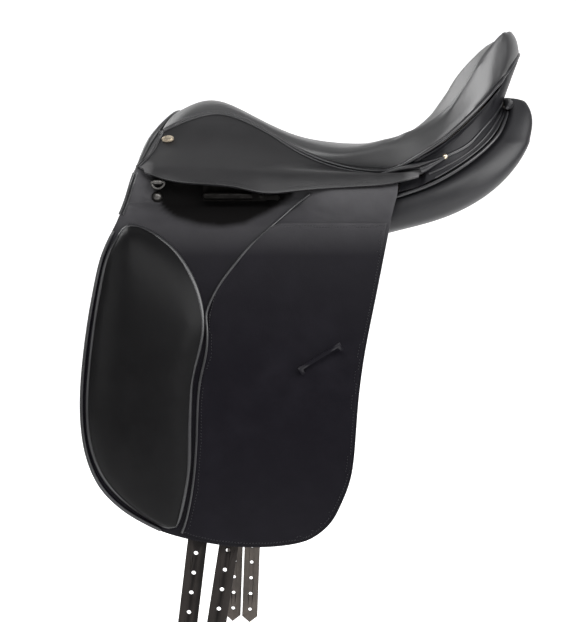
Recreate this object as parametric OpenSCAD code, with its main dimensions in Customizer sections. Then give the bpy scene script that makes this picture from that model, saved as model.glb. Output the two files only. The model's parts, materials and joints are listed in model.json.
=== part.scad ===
// Dressage saddle. Millimetres, +X to the cantle, +Y to the off side, +Z up.
// The origin lies on the centre plane, level with the panels' bearing surface.

/* [Seat] */
// Seat length, from the pommel stud to the middle of the cantle
seat_length = 445; // [420:5:480]
// Thickness of the seat cover leather
cover_t = 2.5; // [1.5:0.5:3.5]
// Thickness of the seat foam in the deepest part of the seat
foam_t = 9; // [6:1:12]
// Radius of the welt in the seat seam
welt_r = 2.2; // [1.6:0.2:3]
// Thickness of the seat webs and girth webs
web_t = 2; // [1.5:0.5:2.5]

/* [Tree] */
// Width of a tree rail
rail_w = 20; // [14:1:24]
// Height of a tree rail
rail_h = 8; // [6:1:10]
// Thickness of the cantle board
cantle_board_t = 4; // [3:0.5:5]
// Height of the cantle board at the middle
cantle_board_h = 26; // [18:2:30]
// Width of the head arch along the saddle
head_w = 20; // [14:1:24]
// Thickness of the head arch
head_t = 9; // [6:1:10]
// Thickness of the steel gullet plate
gullet_t = 3; // [2:0.5:4]
// Width of a spring steel
spring_w = 12; // [8:1:14]
// Thickness of a spring steel
spring_t = 2; // [1.5:0.5:2.5]
// Diameter of the tree and bar rivets
rivet_d = 5; // [4:0.5:6]

/* [Stirrup bar] */
// Length of the bar's base along the saddle
bar_length = 62; // [56:1:70]
// Diameter of the round bar that carries the leather
bar_d = 9; // [8:0.5:10]
// Width of the slot for the stirrup leather
bar_slot = 6; // [5:0.5:7]
// Thickness of the bar's base plate
bar_plate_t = 3; // [2.5:0.5:4]
// Diameter of the thumb lever's pin
lever_pin_d = 4; // [3:0.5:5]
// Length of the thumb lever behind its pin
lever_length = 20; // [16:1:24]

/* [Skirt] */
// Thickness of the skirt leather
skirt_t = 3.5; // [2.5:0.5:4]
// How far the skirt swells out between its seam and its bending line
skirt_swell = 7; // [3:1:10]

/* [Flap] */
// Thickness of the flap leather
flap_t = 4; // [3:0.5:5]
// Half width of the saddle at the flap's bending line
flap_half_w_top = 131; // [128:1:136]
// Half width of the saddle at the flap's lower edge
flap_half_w_bottom = 192; // [180:2:206]
// Exponent of the flap's outward sweep
flap_flare = 1.83; // [1.6:0.01:2]
// How far the flap's front edge turns in
flap_edge_turn = 9; // [4:1:12]
// Thickness of the rear overlay leather on the flap
overlay_t = 2.5; // [1.5:0.5:3]
// Radius of the piping on the flap's front edge
flap_piping_r = 2; // [1.5:0.25:2.5]
// Height of the knee pad's crown over its edges
pad_crown = 17; // [10:1:22]
// Height of the knee pad's drawn-in edge
pad_edge = 3; // [2:0.5:5]
// Length of the keeper on the flap
keeper_length = 55; // [45:1:65]
// Width of the keeper strap
keeper_w = 4; // [3:0.5:6]
// Gap under the keeper
keeper_gap = 3; // [2:0.5:4]

/* [Billets] */
// Width of a billet
billet_w = 22; // [18:1:25]
// Thickness of a billet
billet_t = 4; // [3:0.5:4.5]
// Height of the billet tips
billet_tip_z = -560; // [-590:5:-540]
// Diameter of the girth holes
hole_d = 5; // [4:0.5:6]
// Distance between girth holes
hole_pitch = 23; // [20:1:25]
// Number of girth holes in a billet
hole_count = 9; // [5:1:9]

/* [Panels] */
// Half width of the channel between the panels
channel_half_w = 32; // [26:1:36]
// Slope of the panels' sections towards the horse's sides
panel_slope = 0.25; // [0.15:0.05:0.3]
// Radius of the panel piping
panel_piping_r = 2.2; // [1.6:0.2:2.6]
// Thickness of the sweat flap leather
sweat_t = 4; // [3:0.5:5]

/* [Fittings] */
// Diameter of the dee wire
dee_wire_d = 3; // [2.5:0.5:4]
// Width of the dee
dee_w = 18; // [14:1:22]
// Length of the oval pommel stud
oval_stud_l = 15; // [10:1:18]
// Width of the oval pommel stud
oval_stud_w = 10; // [7:1:12]
// Diameter of the small rear studs
rear_stud_d = 7; // [5:0.5:9]
// Diameter of the domed stud under the skirt
flap_stud_d = 13; // [10:1:15]

/* [Hidden] */
// Clearance between sewn layers
gap = 0.3;
// Clearance between layers that slide past each other
slide = 1;
// Room between the welt and the leather on either side of it
seam_room = 0.5;
// Room between the welt and the cantle back
cantle_room = 2.8;
// Thickness to which the leather is skived at a bending line
skive_t = 0.6;
// Growth of the leather's thickness with the distance from a skived edge
skive_slope = 0.35;
// Running clearance round a pin, in diameter
pin_play = 0.3;
// Half the slit at the skirt's bending line, and the slit at the flap's
bend_slit = 0.9;
flap_slit = 0.4;

// Stations along the saddle grow with the seat
design_seat_length = 445;
function station(p) = [p[0] * seat_length / design_seat_length, p[1], p[2]];
function stations(list) = [for (p = list) station(p)];
function hung(list) = [for (p = list) station([p[0], p[1] - flap_half_w_top, p[2]])];
function outline(list) = [for (p = list) [p[0] * seat_length / design_seat_length, p[1]]];

// Seat control rows from pommel to back welt: seam, shoulder, inner slope, centre
seat_rows = [for (row = [
    [[-165, -60, 128], [-160, -47, 139], [-153, -25, 149], [-150, 0, 151]],
    [[-134, -58, 143], [-130, -47, 154], [-125, -26, 163], [-122, 0, 165]],
    [[-92, -52, 151], [-92, -44, 158], [-92, -25, 163], [-92, 0, 164]],
    [[-40, -60, 128], [-44, -50, 136], [-46, -28, 140], [-48, 0, 140]],
    [[0, -68, 104], [0, -60, 114], [0, -34, 120], [0, 0, 120]],
    [[47, -80, 86], [52, -78, 101], [58, -48, 110], [63, 0, 113]],
    [[100, -98, 79], [112, -105, 117], [112, -62, 116], [112, 0, 113]],
    [[132, -122, 95], [140, -117, 129], [154, -75, 122], [158, 0, 120]],
    [[160, -133, 113], [176, -117, 157], [191, -80, 147], [200, 0, 137]],
    [[190, -128, 140], [204, -104, 203], [218, -70, 182], [228, 0, 168]],
    [[215, -110, 164], [225, -87, 226], [237, -51, 214], [246, 0, 207]],
    [[224, -99, 174], [235, -75, 235], [246, -42, 237], [252, 0, 238]],
    [[232, -90, 182], [243, -68, 236], [253, -38, 246], [259, 0, 248]],
    [[238, -80, 188], [250, -64, 220], [261, -36, 235], [268, 0, 241]],
    [[241, -74, 191], [252, -56, 205], [263, -30, 217], [270, 0, 226]]
]) stations(row)];

// Share of the foam's full depth on each control row
foam_share = [0.5, 0.7, 0.9, 1, 1, 1, 1, 0.9, 0.7, 0.45, 0.35, 0.3, 0.3, 0.3, 0.3];
// Grid rows and columns of the seat that lie on foam
foam_rows = [0:17];
foam_columns = [3:13];
// Row of the seat where the skirt leaves the seam and the back welt begins
skirt_row = 6;
last_row = len(seat_rows) - 1;

// Lower edge of the cantle back, from the skirt's end to the centre
facing_top = stations([
    [126, -113, 82], [145, -122, 86], [165, -127, 93], [192, -119, 106], [211, -105, 125],
    [228, -84, 142], [241, -56, 156], [251, 0, 167]
]);
// Straight bending line of the skirt and its lower edge: x, distance inside the flaps' half width, z
skirt_line = hung([[-186, 17, 82], [140, 6, 77]]);
skirt_edge = hung([
    [-185, 14, 77], [-149, 8, 65], [-113, 3, 62], [-77, 1, 59], [-41, -1, 51],
    [-5, 0, 54], [31, 1, 57], [67, 1, 59], [103, 1, 62], [139, 3, 72]
]);
// The skirt's top edge behind the seat seam
skirt_tail = hung([[128, 18, 79], [140, 10, 80]]);

// Flap outline as (x, z)
flap_line_z = 20;
flap_bottom_z = -346;
flap_top_edge = outline([[-211, flap_line_z], [103, flap_line_z]]);
flap_front = outline([
    [-211, flap_line_z], [-228, -16], [-237, -56], [-245, -107], [-250, -160], [-250, -205],
    [-243, -246], [-226, -281]
]);
flap_bottom = outline([
    [-226, -281], [-196, -308], [-158, -328], [-105, -341], [-57, flap_bottom_z], [-12, -343],
    [16, -334], [36, -315]
]);
flap_rear = outline([
    [103, flap_line_z], [84, -70], [72, -126], [64, -182], [60, -237], [54, -275], [36, -315]
]);
flap_mid_x = -73 * seat_length / design_seat_length;
flap_half_l = 175 * seat_length / design_seat_length;

// Fixed flap top under the skirt: height, lean towards the seat, depth of its hollow, front and rear x
flap_top_rows = [
    [65.8, 21, 10, -192, 112], [57, 9, 22, -197, 112], [46, 6, 24, -201, 110],
    [36, 3.5, 24.5, -205, 107], [28, 1.5, 13.5, -208, 105], [flap_line_z + flap_slit, 0, 0, -211, 103]
];
// Shares of its length where the hollow for the stirrup bar starts, is full, begins to end and ends
hollow_span = [0, 0.07, 0.56, 0.74];
// Row of the hollow that the stirrup bar lies against
bar_row = flap_top_rows[2];
// How far the flap top rises in front of the stirrup bar, and the share of its length that does
flap_top_rise = 14;
flap_top_rise_end = 0.11;
// How much lower its top edge runs behind the stirrup bar, and the shares of its length where that begins
hollow_drop = 7;
drop_span = [0.14, 0.22];

// Knee pad outline as (x, z)
pad_top = outline([[-203, 11], [-197, 15], [-189, 14]]);
pad_front = outline([
    [-203, 11], [-220, -16], [-229, -56], [-237, -107], [-242, -160], [-242, -205], [-235, -242],
    [-219, -274], [-191, -300], [-158, -320]
]);
pad_rear = outline([
    [-189, 14], [-172, 8], [-155, -3], [-136, -21], [-117, -56], [-109, -92], [-112, -120],
    [-121, -154], [-123, -181], [-125, -226], [-125, -259], [-135, -310], [-141, -322]
]);
pad_bottom = outline([[-158, -320], [-149, -323], [-141, -322]]);

// Rear overlay outline as (x, z)
overlay_top = outline([[-28, 17], [98, 17]]);
overlay_front = outline([
    [-28, 17], [-53, 3], [-75, -16], [-97, -58], [-105, -95], [-106, -130], [-115, -160], [-117, -200],
    [-118, -259], [-128, -314], [-134, -328]
]);
overlay_bottom = outline([[-134, -328], [-105, -337], [-57, -342], [-12, -339], [14, -331], [32, -313]]);
overlay_rear = outline([
    [98, 17], [81, -70], [69, -126], [61, -182], [57, -237], [51, -274], [32, -313]
]);
// Lower end of the keeper as (x, z), and the keeper's slope
keeper_foot = [-3, -146];
keeper_slope = 32;

// Layer distances outside the flap's inner face, negative towards the horse: front billet, rear billet
billet_room = 1.5;
billet_seat = [1.05, 0.9];
billet_out = [-2 * billet_room, -3 * billet_room - billet_t];
sweat_room = 0.85;
sweat_out = billet_out[1] - billet_t - billet_room - sweat_room;
sweat_top_z = -gap;
sweat_inset = 14;

// Panel: section centre (x, z), section half depth, distance inside the flaps' half width
panel_path = [for (p = [
    [-190, 16], [-150, 8], [-90, 6], [-30, 9], [40, 14], [105, 30], [160, 48], [207, 75], [241, 106],
    [258, 136], [263, 160]
]) [p[0] * seat_length / design_seat_length, 0, p[1]]];
panel_half_depth = [14, 19, 20, 21, 23, 25, 27, 27, 23.5, 20.5, 17];
panel_inset = [45, 20, 14, 13, 13, 14, -4, 1, 23, 51, 71];
panel_squareness = 0.72;
panel_sides = 18;

// Tree rail centre line of one side, from the head to the middle of the cantle board
rail_path = stations([
    [-138, -50, 108], [-110, -50, 108], [-80, -50, 108], [-62, -50, 108], [-46, -50, 108], [-15, -54, 88],
    [20, -60, 72], [60, -70, 64], [110, -84, 70], [160, -96, 92], [200, -84, 122], [228, -52, 144],
    [240, 0, 154]
]);
rail_flat_x = [-100, -66];
rail_flat_z = 108;
// Head arch: (y, z) of its middle line on one side
head_path = [[-84, 54], [-70, 84], [-46, 100], [0, 118]];
head_x = -150 * seat_length / design_seat_length;
gullet_drop = head_t / 2 + gullet_t / 2 + gap;

// Stirrup bar
bar_front_x = -114 * seat_length / design_seat_length;
bar_face_y = -(flap_half_w_top - bar_row[1] - bar_row[2]) - skirt_t - 3 * gap;
bar_z = 48;
bar_y = bar_face_y - bar_plate_t - bar_slot - bar_d / 2;
bar_plate_top_z = 60;
bar_plate_drop = 6;
bar_flange_z = rail_flat_z - rail_h / 2 - gap;
lever_x = bar_front_x + bar_length + lever_pin_d + 3;
lever_knuckle_d = 9;
lever_arm_t = 5;
lever_tip_r = 3.2;

// Billets: centre x at the flap's lower edge, forward lean in degrees, side
billet_pivot_z = 0;
billet_top_z = 10;
billet_hang_z = -330;
billet_first_hole_z = -357;
billet_spots = [[-118, 7, -1], [-82, 9, -1], [-87, 2, 1], [-62, 2.2, 1]];
// Stations of the girth webs: the front billet hangs on the first stretch, the rear one on the last
girth_web_x = [-82, -69, -61, -21];

// Dee and studs
dee_at = hung([[-166, 17, 64]])[0];
flap_stud_at = station([-168, 0, 47]);
// Place of the oval stud on the skirt: share of the way down from the seam and back from the front
oval_stud_v = 0.27;
oval_stud_u = 0.06;
lining_t = 2.2;

black = "#1b1a1d";
grey_black = "#2b2a2e";
steel = "#b9b7b2";
wood = "#c8a878";
webbing = "#d8cfb8";
foam_colour = "#e6dcc0";
brass = "#b8a070";

// Curves and surfaces

function lerp(a, b, t) = a + (b - a) * t;
function unit(v) = v / norm(v);
function last(list) = list[len(list) - 1];
function flip(p) = [p[0], -p[1], p[2]];
function reversed(list) = [for (i = [len(list) - 1:-1:0]) list[i]];
function across(half) = concat(half, [for (i = [len(half) - 2:-1:0]) flip(half[i])]);

// Point on the smooth curve through a list of points or numbers, t from 0 to 1
function spline(p, t) =
    let (
        n = len(p) - 1,
        s = min(max(t, 0), 1) * n,
        i = min(floor(s), n - 1),
        f = s - i,
        a = p[max(i - 1, 0)],
        b = p[i],
        c = p[i + 1],
        d = p[min(i + 2, n)]
    )
    b + 0.5 * f * (c - a + f * (2 * a - 5 * b + 4 * c - d + f * (3 * (b - c) + d - a)));

function path(p, n) = [for (i = [0:n]) spline(p, i / n)];
function grid(m, n, f) = [for (i = [0:m]) [for (j = [0:n]) f(i / m, j / n)]];

// Surface between four boundary curves, v from top to bottom and u from front to rear
function coons(top, bottom, front, rear, v, u) =
    lerp(spline(top, u), spline(bottom, u), v) + lerp(spline(front, v), spline(rear, v), u)
    - lerp(lerp(top[0], last(top), u), lerp(bottom[0], last(bottom), u), v);

function grid_normal(g, i, j) =
    let (m = len(g) - 1, n = len(g[0]) - 1)
    unit(cross(g[min(i + 1, m)][j] - g[max(i - 1, 0)][j], g[i][min(j + 1, n)] - g[i][max(j - 1, 0)]));

// Grid moved along its normals by a depth that is a function of its two parameters
function moved_by(g, depth) =
    let (m = len(g) - 1, n = len(g[0]) - 1)
    [for (i = [0:m]) [for (j = [0:n]) g[i][j] + grid_normal(g, i, j) * depth(i / m, j / n)]];
function moved(g, d) = moved_by(g, function(v, u) d);

// Depth of leather of a full thickness t that is skived towards an edge, at a distance from that edge
function skived(t, distance) = -min(t, skive_t + distance * skive_slope);

// Closed solid between two grids; the first one's normals point out of the solid
module slab(outer, inner) {
    m = len(outer) - 1;
    n = len(outer[0]) - 1;
    size = (m + 1) * (n + 1);
    function at(i, j) = i * (n + 1) + j;
    rim = concat(
        [for (j = [0:n - 1]) at(0, j)],
        [for (i = [0:m - 1]) at(i, n)],
        [for (j = [n:-1:1]) at(m, j)],
        [for (i = [m:-1:1]) at(i, 0)]
    );
    count = len(rim);
    faces = concat(
        [for (i = [0:m - 1], j = [0:n - 1]) each [
            [at(i, j), at(i, j + 1), at(i + 1, j + 1)],
            [at(i, j), at(i + 1, j + 1), at(i + 1, j)],
            [size + at(i, j), size + at(i + 1, j + 1), size + at(i, j + 1)],
            [size + at(i, j), size + at(i + 1, j), size + at(i + 1, j + 1)]
        ]],
        [for (k = [0:count - 1]) let (a = rim[k], b = rim[(k + 1) % count]) each [
            [a, size + b, b],
            [a, size + a, size + b]
        ]]
    );
    polyhedron(concat([for (row = outer) each row], [for (row = inner) each row]), faces);
}

// Closed solid through rings of points that turn right-handed about the path
module loft(rings) {
    k = len(rings[0]);
    m = len(rings) - 1;
    faces = concat(
        [[for (j = [0:k - 1]) j]],
        [[for (j = [k - 1:-1:0]) m * k + j]],
        [for (i = [0:m - 1], j = [0:k - 1])
            let (a = i * k + j, b = i * k + (j + 1) % k) each [[a, b + k, b], [a, a + k, b + k]]]
    );
    polyhedron([for (r = rings) each r], faces);
}

function tangent(p, i) = unit(p[min(i + 1, len(p) - 1)] - p[max(i - 1, 0)]);
function sideways(p, i, up) = unit(cross(tangent(p, i), up));
function upward(p, i, up) = cross(sideways(p, i, up), tangent(p, i));
function beside(p, d, up) = [for (i = [0:len(p) - 1]) p[i] + sideways(p, i, up) * d];
function above(p, d, up) = [for (i = [0:len(p) - 1]) p[i] + upward(p, i, up) * d];

// Ring of a section (side, up) round a path point
function section_ring(p, i, section, up) =
    let (side = sideways(p, i, up), lift = upward(p, i, up))
    [for (s = section) p[i] + s[1] * lift + s[0] * side];

function circle_section(r, sides) =
    [for (k = [0:sides - 1]) let (a = 360 * k / sides) r * [sin(a), cos(a)]];
function box_section(w, h) = [[-w, h] / 2, [w, h] / 2, [w, -h] / 2, [-w, -h] / 2];

module tube(p, r, sides = 8, up = [0, 0, 1]) {
    loft([for (i = [0:len(p) - 1]) section_ring(p, i, circle_section(r, sides), up)]);
}

module strip(p, w, h, up = [0, 0, 1]) {
    loft([for (i = [0:len(p) - 1]) section_ring(p, i, box_section(w, h), up)]);
}

module on_side(s) {
    if (s < 0) children();
    else mirror([0, 1, 0]) children();
}

module both_sides() {
    for (s = [-1, 1]) on_side(s) children();
}

// Turns Z to the direction n at the point p
module along(p, n) {
    translate(p) rotate([0, acos(n[2]), atan2(n[1], n[0])]) children();
}

module ellipse_plate(l, w, h) {
    linear_extrude(h) polygon([for (a = [0:12:348]) [l / 2 * cos(a), w / 2 * sin(a)]]);
}

module domed_stud(d, h) {
    rotate_extrude($fn = 32) intersection() {
        square([d / 2, h]);
        translate([0, h - (d * d / 4 + h * h) / (2 * h)]) circle((d * d / 4 + h * h) / (2 * h), $fn = 96);
    }
}

// Seat surface, u from pommel to back welt and v from left seam to right seam
function seat_point(u, v) =
    spline([for (k = [0:6]) k < 4 ? spline([for (row = seat_rows) row[k]], u)
        : flip(spline([for (row = seat_rows) row[6 - k]], u))], v);
seat_grid = grid(2 * last_row, 16, function(u, v) seat_point(u, v));
function foam_depth(u, v) = foam_t * spline(foam_share, u) * (0.45 + 0.55 * pow(sin(180 * v), 0.6));
function foam_underside(extra) =
    moved_by(seat_grid, function(u, v) -cover_t - gap - foam_depth(u, v) - extra);

function seat_patch(g, rows, columns) = [for (i = rows) [for (j = columns) g[i][j]]];

// Seam round the seat: its points, and the direction in which the cover runs into it at each
seam_left = [for (row = seat_grid) row[0]];
seam_rear = [for (j = [1:len(seat_grid[0]) - 2]) last(seat_grid)[j]];
seam = concat(seam_left, seam_rear, [for (p = reversed(seam_left)) flip(p)]);
inside_left = [for (row = seat_grid) row[1]];
inside_rear = [for (j = [1:len(seat_grid[0]) - 2]) seat_grid[len(seat_grid) - 2][j]];
inside = concat(inside_left, inside_rear, [for (p = reversed(inside_left)) flip(p)]);
function seam_dir(i) =
    let (t = tangent(seam, i), d = seam[i] - inside[i])
    unit(d - t * (d * t));
welt_step = welt_r + seam_room;
function beyond_seam(i, d) = seam[i] + seam_dir(i) * d;
below_welt = [for (i = [0:len(seam) - 1]) beyond_seam(i, 2 * welt_step + gap)];

// Skirt surface, v from the seat seam to the bending line and u from front to rear
skirt_top_curve = concat([for (i = [0:skirt_row]) below_welt[2 * i]], skirt_tail);
function skirt_point(v, u) =
    let (
        top = spline(skirt_top_curve, u),
        low = spline(skirt_line, u),
        out = unit(cross(low - top, [1, 0, 0]))
    )
    lerp(top, low, v) - out * skirt_swell * sin(180 * v) * (1 - 0.6 * u);
function strip_point(v, u) =
    lerp(spline(skirt_line, u) - [0, 0, 2 * bend_slit], spline(skirt_edge, u), v);
skirt_grid = grid(5, 20, function(v, u) skirt_point(v, u));

// Flap surface: half width by height, with the front edge turned in
function front_turn(x) = flap_edge_turn * pow(max(flap_mid_x - x, 0) / flap_half_l, 4);
function side_y(x, z, out) =
    let (
        t = (z - flap_bottom_z) / (flap_line_z - flap_bottom_z),
        drop = (flap_half_w_bottom - flap_half_w_top) * pow(max(t, 0), flap_flare),
        turn = front_turn(x)
    )
    -(flap_half_w_bottom - drop - turn) - out;
function side_point(q, out) = [q[0], side_y(q[0], q[1], out), q[1]];
function inset_point(q, d) = let (c = [flap_mid_x, -150]) q + unit(c - q) * d;

function flap_xz(v, u) = coons(flap_top_edge, flap_bottom, flap_front, flap_rear, v, u);
function pad_xz(v, u) = coons(pad_top, pad_bottom, pad_front, pad_rear, v, u);
function overlay_xz(v, u) = coons(overlay_top, overlay_bottom, overlay_front, overlay_rear, v, u);
flap_axis_y = -(flap_half_w_top + flap_t);

// Panel section of one side at place t along the panel
function panel_ring(t) =
    let (
        c = spline(panel_path, t),
        ahead = spline(panel_path, min(t + 0.02, 1)) - spline(panel_path, max(t - 0.02, 0)),
        normal = unit(cross(ahead, [0, 1, 0])),
        outer = spline(panel_inset, t) - flap_half_w_top,
        mid_y = (outer - channel_half_w) / 2,
        half_w = (-channel_half_w - outer) / 2,
        half_d = spline(panel_half_depth, t),
        end = min(1, 0.62 + 6 * t, 0.55 + 7 * (1 - t))
    )
    [for (k = [0:panel_sides - 1])
        let (
            a = 360 * k / panel_sides,
            y = half_w * end * sign(cos(a)) * pow(abs(cos(a)), panel_squareness),
            d = half_d * end * sign(sin(a)) * pow(abs(sin(a)), panel_squareness)
        )
        c + [0, mid_y + y, 0] + normal * (d + panel_slope * (1 - t) * y)];
// Side of the panel section where the piping is sewn
piping_side = 7;
// Stretch of the panel that it follows, and the share of it where the rear facing begins
piping_span = [0.5, 0.93];
// Where along the panel piping the rear facing begins, and where it clears the skirt's tail
facing_start = [0.045, 0.2];
// Top edge of the rear facing under the skirt's tail: x, distance inside the flaps' half width, z
facing_tuck = hung([[117, 19.5, 70.5], [131, 17, 71], [141.8, 14.5, 71.5]]);
facing_t = 2;
function panel_piping_point(t) =
    let (r = panel_ring(t), mid = (r[0] + r[panel_sides / 2]) / 2)
    r[piping_side] + unit(r[piping_side] - mid) * (panel_piping_r + 3 * gap);

// Tree

rail_curve = path(across(rail_path), 48);
function rail_board(i) = pow(sin(180 * i / 48), 30);
function rail_section(i) =
    box_section(lerp(rail_w, cantle_board_t, rail_board(i)), lerp(rail_h, cantle_board_h, rail_board(i)));

module rivet_holes(d) {
    both_sides()
        for (x = rail_flat_x) translate([station([x, 0, 0])[0], rail_path[1][1], rail_flat_z - 3 * rail_h])
            cylinder(d = d, h = 6 * rail_h, $fn = 32);
}

module tree_frame() {
    color(wood) difference() {
        loft([for (i = [0:48]) section_ring(rail_curve, i, rail_section(i), [0, 0, 1])]);
        rivet_holes(rivet_d + pin_play);
    }
}

arch_steps = 20;
head_arch = path(across([for (q = head_path) [head_x, q[0], q[1]]]), arch_steps);
gullet_arch = beside(head_arch, gullet_drop, [1, 0, 0]);
head_rivets = [4, 8, 12, 16];

module head_rivet_spots() {
    for (i = head_rivets) along(head_arch[i], sideways(head_arch, i, [1, 0, 0])) children();
}

module tree_head() {
    color(wood) difference() {
        strip(head_arch, head_t, head_w, [1, 0, 0]);
        head_rivet_spots() cylinder(d = rivet_d + pin_play, h = 4 * head_t, center = true, $fn = 32);
    }
}

module gullet_plate() {
    color(steel) difference() {
        strip(gullet_arch, gullet_t, head_w, [1, 0, 0]);
        head_rivet_spots() cylinder(d = rivet_d + pin_play, h = 4 * head_t, center = true, $fn = 32);
    }
}

module spring_steel(s) {
    under = above(rail_curve, -(rail_h + spring_t) / 2 - gap, [0, 0, 1]);
    color(steel) on_side(s) strip([for (i = [9:16]) under[i]], spring_w, spring_t);
}

module spring_steel_left() { spring_steel(-1); }
module spring_steel_right() { spring_steel(1); }

module tree_rivets() {
    top = head_t / 2 + gap;
    low = gullet_drop + gullet_t / 2 + 3 * gap;
    color(steel) head_rivet_spots() {
        translate([0, 0, -top - 1]) cylinder(d = rivet_d, h = top + low + 2, $fn = 32);
        translate([0, 0, low]) domed_stud(2 * rivet_d, rivet_d / 2);
        translate([0, 0, -top]) mirror([0, 0, 1]) domed_stud(2 * rivet_d, rivet_d / 2);
    }
}

// Seat

module seat_cover() {
    color(black) slab(seat_grid, moved(seat_grid, -cover_t));
}

module seat_foam() {
    color(foam_colour) slab(
        seat_patch(moved(seat_grid, -cover_t - gap), foam_rows, foam_columns),
        seat_patch(foam_underside(0), foam_rows, foam_columns)
    );
}

// Web on the foam's underside, over a range of the seat's rows and columns
module under_foam_web(rows, columns, layer) {
    slab(
        seat_patch(foam_underside(layer), rows, columns),
        seat_patch(foam_underside(layer + web_t), rows, columns)
    );
}

module seat_webs() {
    color(webbing) for (columns = [[5:7], [9:11]]) under_foam_web([2:16], columns, gap);
}

module cross_web() {
    color(webbing) under_foam_web([10:12], [3:13], 2 * gap + web_t);
}

module girth_web(s) {
    function low(k, z) = [side_y(flap_mid_x, z, billet_out[k] - billet_t - billet_seat[k] - web_t), z];
    function beside(inset, z) = [inset - flap_half_w_top, z];
    function profile(k) = [
        [-63.6, 90], beside(47, 70), beside(36, 56), beside(34, 40), beside(22, 25), beside(15, 16),
        low(k, 8), low(k, 0)
    ];
    function face(out) = [for (i = [0:14]) [for (k = [0:3])
        let (p = spline(profile(k < 2 ? 0 : 1), i / 14))
        station([girth_web_x[k], p[0] - out, p[1]])]];
    color(webbing) on_side(s) slab(face(web_t), face(0));
}

module girth_web_left() { girth_web(-1); }
module girth_web_right() { girth_web(1); }

module seat_welt() {
    color(black) tube([for (i = [0:len(seam) - 1]) beyond_seam(i, welt_step)], welt_r, 6);
}

module cantle_back() {
    first = 2 * skirt_row + 3;
    top = [for (i = [first:len(seam) - 1 - first]) beyond_seam(i, 2 * welt_step + cantle_room)];
    low = [for (p = facing_top) p + [0, 0, gap]];
    g = grid(4, 32, function(v, u) lerp(spline(top, u), spline(across(low), u), v));
    function from_welt(v, u) = v * norm(spline(top, u) - spline(across(low), u));
    color(black) slab(g, moved_by(g, function(v, u) skived(cover_t, from_welt(v, u))));
}

module rear_facing(s) {
    under_cantle = [for (i = [1:len(facing_top) - 2]) facing_top[i] - [0, 0, slide + 3 * gap]];
    top = concat(facing_tuck, under_cantle);
    tucked = len(facing_tuck) / (len(top) - 1);
    function on_piping(u) = u < tucked
        ? lerp(facing_start[0], facing_start[1], u / tucked)
        : lerp(facing_start[1], 1, (u - tucked) / (1 - tucked));
    function low(u) =
        let (p = panel_piping_point(lerp(piping_span[0], piping_span[1], on_piping(u))))
        p + unit(spline(top, u) - p) * (panel_piping_r + 7 * gap);
    g = grid(4, 24, function(v, u) lerp(spline(top, u), low(u), v));
    color(black) on_side(s) slab(g, moved(g, -facing_t));
}

module rear_facing_left() { rear_facing(-1); }
module rear_facing_right() { rear_facing(1); }

// Front of the pommel, from the seat's front edge to the gullet

arch_edge = stations([
    [-184, -103.4, 70], [-172.6, -80.8, 97.2], [-164, -55, 121], [-156, -25, 143], [-153, 0, 148]
]);
gullet_edge = stations([[-190, -74, 52], [-180, -58, 78], [-172, -34, 98], [-169, 0, 106]]);

module pommel_facing() {
    outer = across(arch_edge);
    inner = across(gullet_edge);
    g = grid(4, 22, function(v, u) lerp(spline(outer, u), spline(inner, u), v));
    color(black) slab(moved(g, lining_t), g);
}

module front_arch_piping() {
    low = [for (p = gullet_edge) p - [0, 0, welt_r + lining_t + 2 * gap]];
    color(black) tube(path(across(low), 24), welt_r, 8, [1, 0, 0]);
}

// Skirts

module skirt_top(s) {
    function from_line(v, u) = (1 - v) * norm(spline(skirt_top_curve, u) - spline(skirt_line, u));
    color(grey_black) on_side(s)
        slab(skirt_grid, moved_by(skirt_grid, function(v, u) skived(skirt_t, from_line(v, u))));
}

module skirt_top_left() { skirt_top(-1); }
module skirt_top_right() { skirt_top(1); }

module skirt(s) {
    g = grid(3, 20, function(v, u) strip_point(v, lerp(0.02, 0.98, u)));
    function from_line(v, u) = v * norm(spline(skirt_edge, u) - spline(skirt_line, u));
    color(grey_black) on_side(s) slab(g, moved_by(g, function(v, u) skived(skirt_t, from_line(v, u))));
}

module skirt_left() { skirt(-1); }
module skirt_right() { skirt(1); }

// Stirrup bars

module stirrup_bar(s) {
    y0 = bar_face_y;
    y1 = bar_face_y - bar_plate_t;
    flange_y = rail_path[1][1] - rail_w / 2;
    plate_low_z = bar_z - bar_plate_drop;
    profile = [
        [y0, plate_low_z], [y0, bar_plate_top_z], [flange_y, bar_flange_z - bar_plate_t],
        [flange_y + rail_w, bar_flange_z - bar_plate_t], [flange_y + rail_w, bar_flange_z],
        [flange_y - 1, bar_flange_z], [y1, bar_plate_top_z + 2], [y1, plate_low_z]
    ];
    ear_l = lever_x + lever_knuckle_d / 2 - bar_front_x - bar_length;
    color(steel) on_side(s) difference() {
        union() {
            translate([bar_front_x, 0, 0]) rotate([90, 0, 90]) linear_extrude(bar_length) polygon(profile);
            translate([bar_front_x + bar_d / 2, bar_y, bar_z]) rotate([0, 90, 0])
                cylinder(d = bar_d, h = bar_length - bar_d, $fn = 48);
            translate([bar_front_x + bar_d / 2, bar_y, bar_z]) sphere(d = bar_d, $fn = 48);
            translate([bar_front_x + bar_d / 2, y1 + 1, bar_z]) rotate([90, 0, 0])
                cylinder(d = bar_d, h = y1 + 1 - bar_y, $fn = 48);
            translate([bar_front_x + bar_length - 1, y1, plate_low_z])
                cube([ear_l + 1, bar_plate_t, 2 * bar_plate_drop]);
        }
        rivet_holes(rivet_d + pin_play);
        translate([lever_x, 0, bar_z]) rotate([90, 0, 0])
            cylinder(d = lever_pin_d, h = -bar_y * 2, $fn = 32);
    }
}

module stirrup_bar_left() { stirrup_bar(-1); }
module stirrup_bar_right() { stirrup_bar(1); }

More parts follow.
